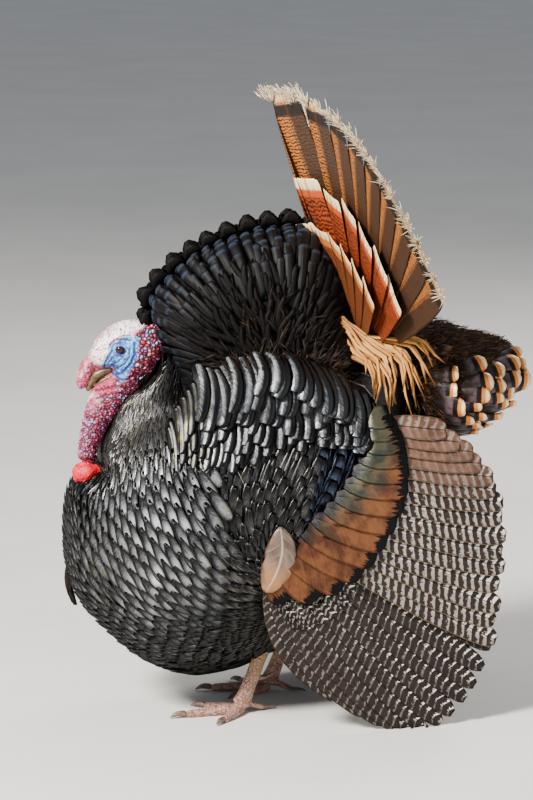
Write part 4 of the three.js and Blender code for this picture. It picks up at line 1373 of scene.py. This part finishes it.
SCAPULAR_LOW = [[0, -176, 330], [0.2, -140, 302], [0.4, -84, 336], [0.7, 24, 364], [1, 92, 384]]
SCAPULAR_TOP = [
    [0, -180, 384], [0.12, -158, 428], [0.3, -110, 462], [0.5, -52, 474], [0.7, 12, 464],
    [0.86, 66, 432], [1, 112, 406],
]
BRONZE_ROOTS = [[0, 84, 404], [0.25, 80, 350], [0.5, 46, 292], [0.75, -8, 242], [1, -50, 200]]
BRONZE_TIPS = [
    [0, 112, 408], [0.2, 130, 366], [0.42, 130, 306], [0.62, 100, 242], [0.78, 62, 198],
    [0.92, 2, 170], [1, -42, 172],
]
SECONDARY_ROOTS = [[0, 78, 396], [0.25, 62, 352], [0.5, 36, 304], [0.75, 12, 262], [1, -8, 236]]
SECONDARY_TIPS = [
    [0, 180, 384], [0.2, 232, 340], [0.42, 260, 288], [0.62, 264, 226], [0.82, 258, 156], [1, 250, 96],
]
PRIMARY_ROOTS = [[0, 4, 246], [0.3, -16, 222], [0.65, -38, 200], [1, -56, 186]]
PRIMARY_TIPS = [
    [0, 252, 98], [0.22, 222, 36], [0.45, 178, -6], [0.65, 136, -16], [0.85, 88, 4], [1, 46, 34],
]


# How far the feathers' roots lie off the wing's face.


def scapular_lift(z, s, t):
    raised = 34 * clamp((z - 395) / 75, 0, 1.2)
    pillow = np.sin(np.pi * clamp(t, 0.05, 0.95)) ** 0.5
    return 9 + raised - 13 * (1 - pillow)


def arm_lift(z, s, t):
    pillow = (np.sin(np.pi * clamp(s, 0.02, 0.98)) * np.sin(np.pi * clamp(t, 0.04, 0.96))) ** 0.5
    return 8 * pillow - 13


def bronze_lift(z, s, t):
    return mix(-8, 2.5, clamp((s + 0.25) / 0.35))


def arm_place(side):
    """place(s, t) on the wing's arm: s from its top to the wrist, t from its front to its rear."""
    across = between(ARM_FRONT, ARM_REAR, arm_lift, side)
    return lambda s, t: across(t, 1 - np.asarray(s, float))


def flat_lift(value):
    return lambda z, s, t: value


SCAPULAR_TIERS = ((-0.12, 80, 14.0, 3.0), (0.12, 68, 12.5, 1.5), (0.36, 56, 11.0, 0.0), (0.56, 46, 9.0, -1.0))
FRONT_TIERS = ((-0.04, 60, 8.5, 1.5), (0.16, 54, 8.0, 0.5), (0.38, 46, 7.0, -0.5), (0.58, 40, 6.0, -1.0))
MEDIAN_TIERS = ((0.99, 10.0, 16.0), (0.89, 11.0, 14.0), (0.79, 10.5, 11.0), (0.69, 10.0, 8.0))


def lay_tiers(plumage, place, tiers, strings, order, low, shake_t, shake_s, drift=0.0, **look):
    """Long feathers in strings down the shoulder. A tier is its place, then length, half width, height."""
    count = len(strings)
    for start, length, half_width, high in tiers:
        t = strings + plumage.random.normal(0, shake_t, count) + start * drift
        s = start + plumage.random.normal(0, shake_s, count)
        plumage.lay(place, s, t, length, half_width, low, high, "broad", order=order, skew=0.12, splay=0.05,
                    bank=0.34, **look)


shoulders = Plumage(31)
front_shoulders = Plumage(34)
lesser = Plumage(32)
median = Plumage(35)
bronze = Plumage(33)
wrist = Plumage(36)
for side in (-1, 1):
    place = between(SCAPULAR_TOP, SCAPULAR_LOW, scapular_lift, side)
    lay_tiers(shoulders, place, SCAPULAR_TIERS, np.linspace(0.18, 0.92, 20), -side, low=-9, shake_t=0.005,
              shake_s=0.04, drift=0.04, bow=0.12, camber=0.32, columns=9, lift_spread=1.5, thickness=1.1,
              size_spread=0.05)
    lay_tiers(front_shoulders, place, FRONT_TIERS, np.linspace(0.01, 0.21, 9), -side, low=-7, shake_t=0.004,
              shake_s=0.03, bow=0.1, camber=0.4, columns=7, lift_spread=1.2, size_spread=0.06)
    place = arm_place(side)
    s, t = woven(place, 17, lambda p: 29.0, lesser.random, (0.0, 0.92), (0.0, 0.7), jitter=0.12)
    lesser.lay(place, s, t, 56, 6.6, -6, 3.5, "broad", skew=-0.16, camber=0.5, splay=0.05, lift_spread=1.0,
               order=side, bank=0.2, size_spread=0.1, belly=1.4)
    for start, width, high in MEDIAN_TIERS:
        s = np.linspace(0.0, 0.86, 13) + median.random.uniform(0, 0.05)
        median.lay(place, s, np.full(13, start), 42, width, 3, high, "broad", skew=0.1, camber=0.4, columns=7,
                   splay=0.08, lift_spread=0.8, order=side, bank=0.25, size_spread=0.06)
    place = between(BRONZE_ROOTS, BRONZE_TIPS, bronze_lift, side)
    t = np.linspace(0.04, 0.97, 14)
    bronze.flight(place, t, 0.99, mix(16, 27, t), -side, s_from=-0.25, camber=0.05, bank=-0.06, columns=11,
                  thickness=0.8, ragged=0.03, tone=t)
# The scapulars and front scapulars carry painted shade on one side of each feather.
shoulders.finish("scapular_feathers", glossy_feather(
    "scapular", "#0a0909", "#303236", "#242320", "#040405", "#4c4844", 1.6, 0.45, "#8f949b", 0.5,
    metal=0.55, rough=0.28, outer=-1.0), "shoulder_feathers", both("scapulars"))
front_shoulders.finish("front_scapular_feathers", glossy_feather(
    "front_scapular", "#0b0908", "#1b1916", "#24211d", "#050505", "#3c3833", 1.2, 0.35, "#66635a", 0.45,
    tint="#67602f", metal=0.5, rough=0.3, outer=-1.0), "shoulder_feathers")
# The lesser and median coverts carry painted shade on both sides of each feather.
lesser.finish("lesser_coverts", glossy_feather(
    "lesser", "#050505", "#242426", "#302e2a", "#050505", "#55524d", 1.3, 0.35, "#8f9195", 0.4,
    metal=0.65, rough=0.3, side_shade=0.5), "shoulder_feathers", both("wing_arm"))
median.finish("median_coverts", glossy_feather(
    "median", "#08080a", "#242c3c", "#343e52", "#050507", "#3a4258", 1.4, 0.4, "#8896b2", 0.5,
    metal=0.75, rough=0.25, side_shade=0.5), "shoulder_feathers")


def bronze_material():
    net = Vane("bronze", Metallic=0.6, Roughness=0.33)
    mottled = net.noise(45.0, 4.0)
    copper = net.steps(mottled, "#46271a", (0.35, 0.65, "#6f4428"))
    copper = net.blend(net.ramp(net.strands, 0.45, 0.8) * 0.3, copper, "#95674a")
    green = net.steps(mottled, "#34382f", (0.4, 0.6, "#4e4b3a"))
    net.paint = net.steps(net.tone * 0.9 + net.v * 0.7 + mottled * 0.3, green, (0.65, 1.0, copper))
    spikes = net.noise(1.0, 2.0, net.joint(net.u * net.width * 30.0, 0.0, net.chance * 9.0))
    net.over(net.ramp(net.from_tip + (spikes - 0.5) * 34.0, 14.5, 12.5), "#090808")
    net.over(net.ramp(net.v, 0.26, 0.1), "#0d0c0d")
    return net.done(0.3)


bronze.finish("bronze_coverts", bronze_material(), "bronze_feathers", both("greater_coverts"))

secondaries = Plumage(41)
primaries = Plumage(42)
for side in (-1, 1):
    place = between(SECONDARY_ROOTS, SECONDARY_TIPS, flat_lift(-5.0), side)
    t = np.linspace(0.03, 0.985, 15)
    secondaries.flight(place, t, 1 - 0.02 * (np.arange(15) % 2), 17.5, -side, s_from=0.16, bank=-0.13,
                       ragged=0.05, wobble=0.006, tone=t)
    place = between(PRIMARY_ROOTS, PRIMARY_TIPS, flat_lift(-13.0), side, bow=26.0, lowest=FLOOR + 1.5)
    t = np.linspace(0.03, 0.985, 12)
    primaries.flight(place, t, 0.99, 15.5, -side, bank=-0.13, ragged=0.05, wobble=0.004)
    place = between(PRIMARY_ROOTS, PRIMARY_TIPS, flat_lift(-7.0), side)
    s, t = lattice([-0.04, 0.02, 0.08, 0.14, 0.2], np.linspace(0.04, 0.98, 14), wrist.random, 0.14)
    wrist.lay(place, s, t, 32, 9.0, -4, 4.0, "round", camber=0.2, splay=0.08, lift_spread=1.0, order=-side,
              columns=7, bank=-0.15)
secondaries.finish("secondary_feathers", barred_feather(
    "secondary", "#2a1c15", "#efe7db", "#8f7757", pitch=11.5, white_share=0.42, plain_until=0.45),
    "barred_feathers", both("secondaries"))
primaries.finish("primary_feathers", barred_feather(
    "primary", "#1b120d", "#f0e8dc", "#2b221c", pitch=11.0, white_share=0.22, weak_side=0.12),
    "barred_feathers", both("primaries"))
wrist.finish("wrist_feathers", barred_feather(
    "wrist", "#100b09", "#e6ddd0", "#1c1613", pitch=9.0, white_share=0.3), "barred_feathers")

alula = Plumage(43)
ALULA_ROWS = [[0, -40, 266], [0.35, -38, 236], [0.7, -46, 206], [1, -60, 180]]
ALULA_HALF_WIDTH = 22.0
for side in (-1, 1):
    v, w = outline("alula")
    y, z = read_rows(ALULA_ROWS, v).T
    centre = stack(side * (wing_face(y, z) + 7.5), y, z)[None]
    outward = np.broadcast_to([side, 0.0, 0.1], centre.shape)
    bake = np.array([[0.05 + 0.45 * (side > 0), 0.02]]), (0.4, 0.96)
    alula.add(centre, vane_frame(centre, outward, outward), (ALULA_HALF_WIDTH * w)[None], v, 13, bake,
              thickness=1.2, camber=0.16, fray=0.3, ragged=0.12)


def alula_material():
    net = Vane("alula", Metallic=0.45, Roughness=0.38)
    folds = net.noise(38.0, 4.0, stretch=(1.0, 1.0, 0.4))
    net.paint = net.steps(folds, "#4e3d33", (0.35, 0.65, "#7d6a5c"))
    net.over(net.ramp(net.strands, 0.45, 0.8) * 0.4, "#aca19a")
    net.over(net.ramp(net.v, 0.45, 0.85) * net.ramp(folds, 0.4, 0.6) * 0.7, "#b0743f")
    net.over(net.shaft * 0.6, "#cdbba6")
    net.over(net.ramp(net.edge, 1.1, 0.5), "#8a5a52")
    return net.done(0.4)


alula.finish("alula_feathers", alula_material(), "bronze_feathers", both("alula"))

# ---- Tail -----------------------------------------------------------------------------------


def fan_place(side, lift_root, lift_tip, reach, narrowing=0.0):
    """place(s, t) on the fan: s from the root to the tip, t in degrees from the middle feather."""
    def place(s, t):
        s, t = paired(s, t)
        length = reach - narrowing * (t / TAIL["half_spread"]) ** 2
        return fan_point(side * t, s * length, mix(lift_root, lift_tip, clamp(s)))
    return place


rectrices = Plumage(51)
long_coverts = Plumage(52)
short_coverts = Plumage(53)
tufts = Plumage(57)
fingers = Plumage(54)
TUFT_HAIRS = 32
for side in (-1, 1):
    tail_place = fan_place(side, -1.0, -1.5, TAIL["length"], 0.08 * TAIL["length"])
    t = np.linspace(3.5, 66.5, 9)
    rectrices.flight(tail_place, t, 0.975, 30.0, side, s_from=0.02, columns=21, fray=1.4, camber=0.05,
                     bank=0.07, thickness=1.0)
    for angle in t:
        for offset in (-2.2, 1.6):
            middle = angle + offset + tufts.random.uniform(-0.7, 0.7)
            across = tufts.random.normal(0, 1, TUFT_HAIRS)
            tip = 0.945 + tufts.random.normal(0, 0.006, TUFT_HAIRS)
            tufts.lay(tail_place, tip, middle + across * 0.26, 16, 0.9, -0.5, 3.0, "hair", skew=across * 0.35,
                      columns=3, splay=0.12, lift_spread=5.0, order=side, size_spread=0.25, curl=4.0)
    covert_place = fan_place(side, 9.0, 11.5, 262, 22 * (TAIL["half_spread"] / 66) ** 2)
    t = np.array([5.5, 16.5, 27.5, 38.5, 49.5, 60.0])
    long_coverts.flight(covert_place, t, [0.99, 0.96, 0.99, 0.97, 0.99, 0.97], 29.0, side, s_from=0.05,
                        shape="covert", columns=29, fray=0.7, camber=0.04, bank=0.12, thickness=1.0, curl=2.0)
    t = np.array([3.0, 12.0, 22.0, 32.0, 42.0, 52.0])
    short_coverts.flight(fan_place(side, 18.0, 25.0, 200), t, 0.985, 24.0, side, s_from=0.06, shape="covert",
                         columns=25, fray=0.9, camber=0.05, bank=0.12, thickness=1.0, curl=3.0)
rectrices.finish("tail_feathers", tail_feather(
    "rectrix", "#a5622a", "#140b07", "#1a110b", "#c9a878", "#251b15", stripe_share=0.9, pitch=4.6,
    band_from=0.9, band_to=0.95, cream_from=0.965), "tail_feathers", both("tail"))
tufts.finish("tail_tip_tufts", striped_strand("tail_tuft", "#f3e8cf", "#e0c496", "#a9865a"), "tail_feathers")
long_coverts.finish("long_tail_coverts", tail_feather(
    "tail_covert", "#8a3614", "#1a0a06", "#a34418", "#f0d3a2", "#8a3614", stripe_share=0.0, pitch=6.5,
    band_from=0.875, band_to=0.93, cream_from=0.93), "tail_covert_feathers", both("tail_coverts_long"))
short_coverts.finish("short_tail_coverts", tail_feather(
    "low_covert", "#7a3c16", "#1c0c06", "#a8602a", "#eec890", "#5a3018", stripe_share=0.6, pitch=6.0,
    band_from=0.86, band_to=0.93, cream_from=0.93), "tail_covert_feathers", both("tail_coverts_short"))

SIDE_ROOTS = [[0, 70, 66, 470], [0.5, 92, 88, 486], [1, 106, 112, 496]]
SIDE_TIPS = [
    [0, 104, 84, 424], [0.25, 118, 110, 418], [0.5, 132, 134, 430], [0.75, 142, 158, 452], [1, 148, 170, 488],
]
FINGER_TIERS = ((-1.6, 8, 5.0), (-1.3, 9, 3.0), (-0.6, 9, 1.0), (0.0, 8, -2.0))


def side_place(side):
    def place(s, t):
        s, t = paired(s, t)
        xyz = mix(read_rows(SIDE_ROOTS, t), read_rows(SIDE_TIPS, t), s[..., None])
        bow = 14 * np.sin(np.pi * clamp(s))
        return (xyz + stack(bow, bow * 0.4, bow)) * [side, 1, 1]
    return place


for side in (-1, 1):
    for start, count, high in FINGER_TIERS:
        t = np.linspace(0.0, 0.95, count) + fingers.random.normal(0, 0.02, count)
        s = start + fingers.random.normal(0, 0.06, count)
        length = (1.0 - start) * np.linalg.norm(read_rows(SIDE_TIPS, t) - read_rows(SIDE_ROOTS, t), axis=1)
        fingers.lay(side_place(side), s, t, length, 3.8, -1, high, "strand", camber=0.4, splay=0.08,
                    lift_spread=3.0, order=-side, size_spread=0.1, bow=0.04, thickness=1.4, bank=0.3)
fingers.finish("side_tail_coverts", striped_strand("finger", "#d19a52", "#8f4f1c", "#2c1608"),
               "tail_covert_feathers", both("tail_coverts_side"))


def tube_place(rows, **options):
    def place(s, t):
        return tube_point(rows, clamp(s, 0.001, 0.999), t * 2 * np.pi, **options)
    return place


undertail = Plumage(55)
crescents = Plumage(56)
CRESCENT_ROWS = (
    (0.16, 50, 14, 26), (0.28, 50, 14, 28), (0.4, 50, 14, 26), (0.52, 50, 14, 24), (0.64, 46, 14, 24),
)
place = tube_place(UNDERTAIL_ROWS, ends=(0.14, 0.1))
s, t = lattice(np.linspace(0.06, 0.95, 27), np.linspace(0, 1, 150, endpoint=False), undertail.random, 0.4)
upper = (np.sin(t * 2 * np.pi) < -0.1) | (s < 0.5) | (s > 0.86)
undertail.lay(place, s[upper], t[upper], 24, 1.0, -6, 2.0, "hair", columns=3, splay=0.45, lift_spread=2.5,
              size_spread=0.25, thickness=0.8)
s, t = lattice(np.linspace(0.1, 0.94, 12), np.linspace(0, 1, 34, endpoint=False), undertail.random, 0.1)
undertail.lay(place, s, t, 50, 14, -10, -3, "round", splay=0.1, lift_spread=1.0)
for ring, length, half_width, count in CRESCENT_ROWS:
    t = (np.arange(count) + crescents.random.uniform(0, 1)) / count + crescents.random.normal(0, 0.005, count)
    low = np.sin(t * 2 * np.pi) > (-0.45 if ring < 0.6 else -0.8)
    crescents.lay(place, np.full(count, ring)[low], t[low], length, half_width, -6, 7.0, "broad", camber=0.35,
                  columns=9, splay=0.1, lift_spread=3.0, size_spread=0.08, ragged=0.05, curl=3.0)
undertail.finish("undertail_down", downy_feather("undertail_down", "#150c07", "#372212", "#76512f"),
                 "undertail_feathers", ["undertail"])


def crescent_material():
    net = Vane("crescent", Metallic=0.25, Roughness=0.42)
    shaken = net.from_tip + (net.fine - 0.5) * 3.0
    sheen = net.steps(net.noise(60.0), "#2e2226", (0.35, 0.65, "#5c4a4e"))
    base = net.steps(net.from_tip, "#1b120e", (30.0, 20.0, sheen))
    net.paint = net.steps(shaken, base, (17.0, 15.5, "#0b0807"), (10.5, 9.5, "#c9742a"),
                          (6.5, 3.5, "#f0d3a2"))
    return net.done(0.35)


crescents.finish("undertail_crescents", crescent_material(), "undertail_feathers")

# ---- Legs' feathers -------------------------------------------------------------------------

thighs = Plumage(61)
for foot in FEET.values():
    place = tube_place(thigh_rows(foot))
    s, t = lattice(np.linspace(0.05, 0.84, 14), np.linspace(0, 1, 26, endpoint=False), thighs.random, 0.15)
    thighs.lay(place, s, t, 28, 6.0, -6, 0.5, "round", camber=0.3, splay=0.15, lift_spread=1.5, ragged=0.4)
thighs.finish("thigh_feathers", downy_feather("thigh", "#120f0d", "#241d19", "#3f342c"), "body_feathers")

# ---- Bill, eyes, claws and beard ------------------------------------------------------------


def horn_material(name, base, dark, light):
    net = Net(name, Roughness=0.35)
    grain = net.noise(150.0, 4.0, stretch=(3.0, 1.0, 1.0))
    net.paint = net.steps(grain, base, (0.35, 0.65, light))
    net.over(net.ramp(net.noise(420.0), 0.55, 0.75) * 0.5, dark)
    return net.done(grain, 0.25, 0.0006)


def smooth_piece(name, parts, material, nodes):
    made = new_object(name, new_mesh(name, *joined(parts)), material)
    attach(made, "root")
    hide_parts(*nodes)


horn = horn_material("bill_horn", "#3b2e1c", "#1b140d", "#64532f")
smooth_piece("bill_upper_horn", [tube_mesh(UPPER_BILL_ROWS, 40, 36)], horn, ["bill_upper"])
smooth_piece("bill_lower_horn", [tube_mesh(LOWER_BILL_ROWS, 40, 30)], horn, ["bill_lower"])

claw_look = horn_material("claw_horn", "#57463a", "#241b16", "#857260")
claw_parts, claw_nodes = [], []
for side, foot in FEET.items():
    for name, toe in TOES.items():
        claw_parts.append(tube_mesh(claw_rows(foot, *toe[:3]), 16, 18, side=toe_side(foot, toe[0])))
        claw_nodes.append(f"claw_{name}_{side}")
    claw_parts.append(tube_mesh(spur_rows(foot), 16, 18))
    claw_nodes.append(f"spur_{side}")
smooth_piece("claws_horn", claw_parts, claw_look, claw_nodes)


def eye_material():
    net = Net("eye_wet", Roughness=0.05, Specular_IOR_Level=0.25, Coat_Weight=0.25, Coat_Roughness=0.02)
    _, y, z = net.parts(net.place())
    _, middle_y, middle_z = to_row(EYE_CENTRE).tolist()
    dy, dz = y - middle_y, z - middle_z
    radius = net.math("SQRT", dy * dy + dz * dz)
    iris = net.steps(net.noise(900.0), "#180707", (0.3, 0.7, "#330f0e"))
    net.paint = net.steps(radius, "#050404", (0.0021, 0.0026, iris))
    return net.done()


eye_look = eye_material()
for side, sign in (("left", 1), ("right", -1)):
    bpy.ops.mesh.primitive_uv_sphere_add(segments=48, ring_count=32, radius=EYE_RADIUS * 0.001)
    ball = bpy.context.object
    ball.name = f"eyeball_{side}"
    ball.location = tuple(to_row(EYE_CENTRE * [sign, 1, 1]))
    shade_smooth(ball.data)
    ball.data.materials.append(eye_look)
    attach(ball, "root")
    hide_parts(f"eye_{side}")

BRISTLES = 220
beard = Plumage(71)
angle = beard.random.random(BRISTLES) * 2 * np.pi
reach = np.sqrt(beard.random.random(BRISTLES))
v = np.linspace(0, 1, 9)
end = beard.random.uniform(0.75, 1.0, BRISTLES)
keyed = [[n / (len(BEARD_ROWS) - 1), *row] for n, row in enumerate(BEARD_ROWS)]
spine = read_rows(keyed, v * end[:, None])
outward = stack(np.cos(angle), np.sin(angle), 0.0)[:, None]
spread = mix(0.9, 0.8, v) * reach[:, None]
centre = spine[..., :3] + outward * spine[..., [3, 4, 4]] * spread[..., None]
corner = stack(beard.random.random(BRISTLES), beard.random.random(BRISTLES)) * 0.99
half_width = np.tile(np.linspace(0.9, 0.5, len(v)), (BRISTLES, 1))
beard.add(centre, vane_frame(centre, outward, outward), half_width, v, 3, (corner, BAKE_PATCH),
          thickness=0.9, camber=0.1)
beard.finish("beard_bristles", downy_feather("beard", "#100d0b", "#1d1713", "#3a2f27", 0.55), "beard_bristle",
             ["beard"])

# ---- Stage, light and camera ----------------------------------------------------------------


def stage_material():
    net = Net("stage", Roughness=0.9)
    net.paint = net.steps(net.noise(3.0), "#dcd8d2", (0.3, 0.7, "#e2ded8"))
    return net.done()


bpy.ops.mesh.primitive_plane_add(size=30)
floor = bpy.context.object
floor.name = "stage_floor"
floor.data.materials.append(stage_material())
floor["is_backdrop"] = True


LIGHT_AIM = Vector((0, 0, 0.35))


def area_light(name, place, power, size, colour):
    light = bpy.data.lights.new(name, "AREA")
    light.energy, light.size, light.color = power, size, colour
    lamp = bpy.data.objects.new(name, light)
    lamp.location = place
    lamp.rotation_euler = (LIGHT_AIM - Vector(place)).to_track_quat("-Z", "Y").to_euler()
    bpy.context.scene.collection.objects.link(lamp)
    lamp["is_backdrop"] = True


area_light("key", (1.7, -2.2, 2.5), 390, 0.8, (1, 0.97, 0.92))
area_light("fill", (2.8, 1.2, 1.3), 36, 2.4, (0.93, 0.96, 1))
area_light("rear", (-2.2, 1.8, 2.4), 80, 1.4, (1, 0.97, 0.92))

world = bpy.data.worlds.new("studio")
world.use_nodes = True
world.node_tree.nodes["Background"].inputs[0].default_value = (0.75, 0.82, 0.92, 1)
world.node_tree.nodes["Background"].inputs[1].default_value = 0.37
bpy.context.scene.world = world

CAMERA_AZIMUTH, CAMERA_ELEVATION, CAMERA_DISTANCE = math.radians(81), math.radians(10), 5.0
CAMERA_AIM = Vector((0.0, -0.0326, 0.411))
PHOTO_SCALE = 1.33e-3  # metres of the bird for one pixel of the photo
PHOTO_HEIGHT = 800
SENSOR = 36
back = Vector((
    math.sin(CAMERA_AZIMUTH) * math.cos(CAMERA_ELEVATION),
    -math.cos(CAMERA_AZIMUTH) * math.cos(CAMERA_ELEVATION),
    math.sin(CAMERA_ELEVATION),
))
camera = bpy.data.cameras.new("camera")
camera.sensor_width = SENSOR
camera.lens = SENSOR * CAMERA_DISTANCE / (PHOTO_SCALE * PHOTO_HEIGHT)
eye = bpy.data.objects.new("camera", camera)
eye.location = CAMERA_AIM + back * CAMERA_DISTANCE
eye.rotation_euler = back.to_track_quat("Z", "Y").to_euler()
bpy.context.scene.collection.objects.link(eye)
bpy.context.scene.camera = eye

visual_box = plain(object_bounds())
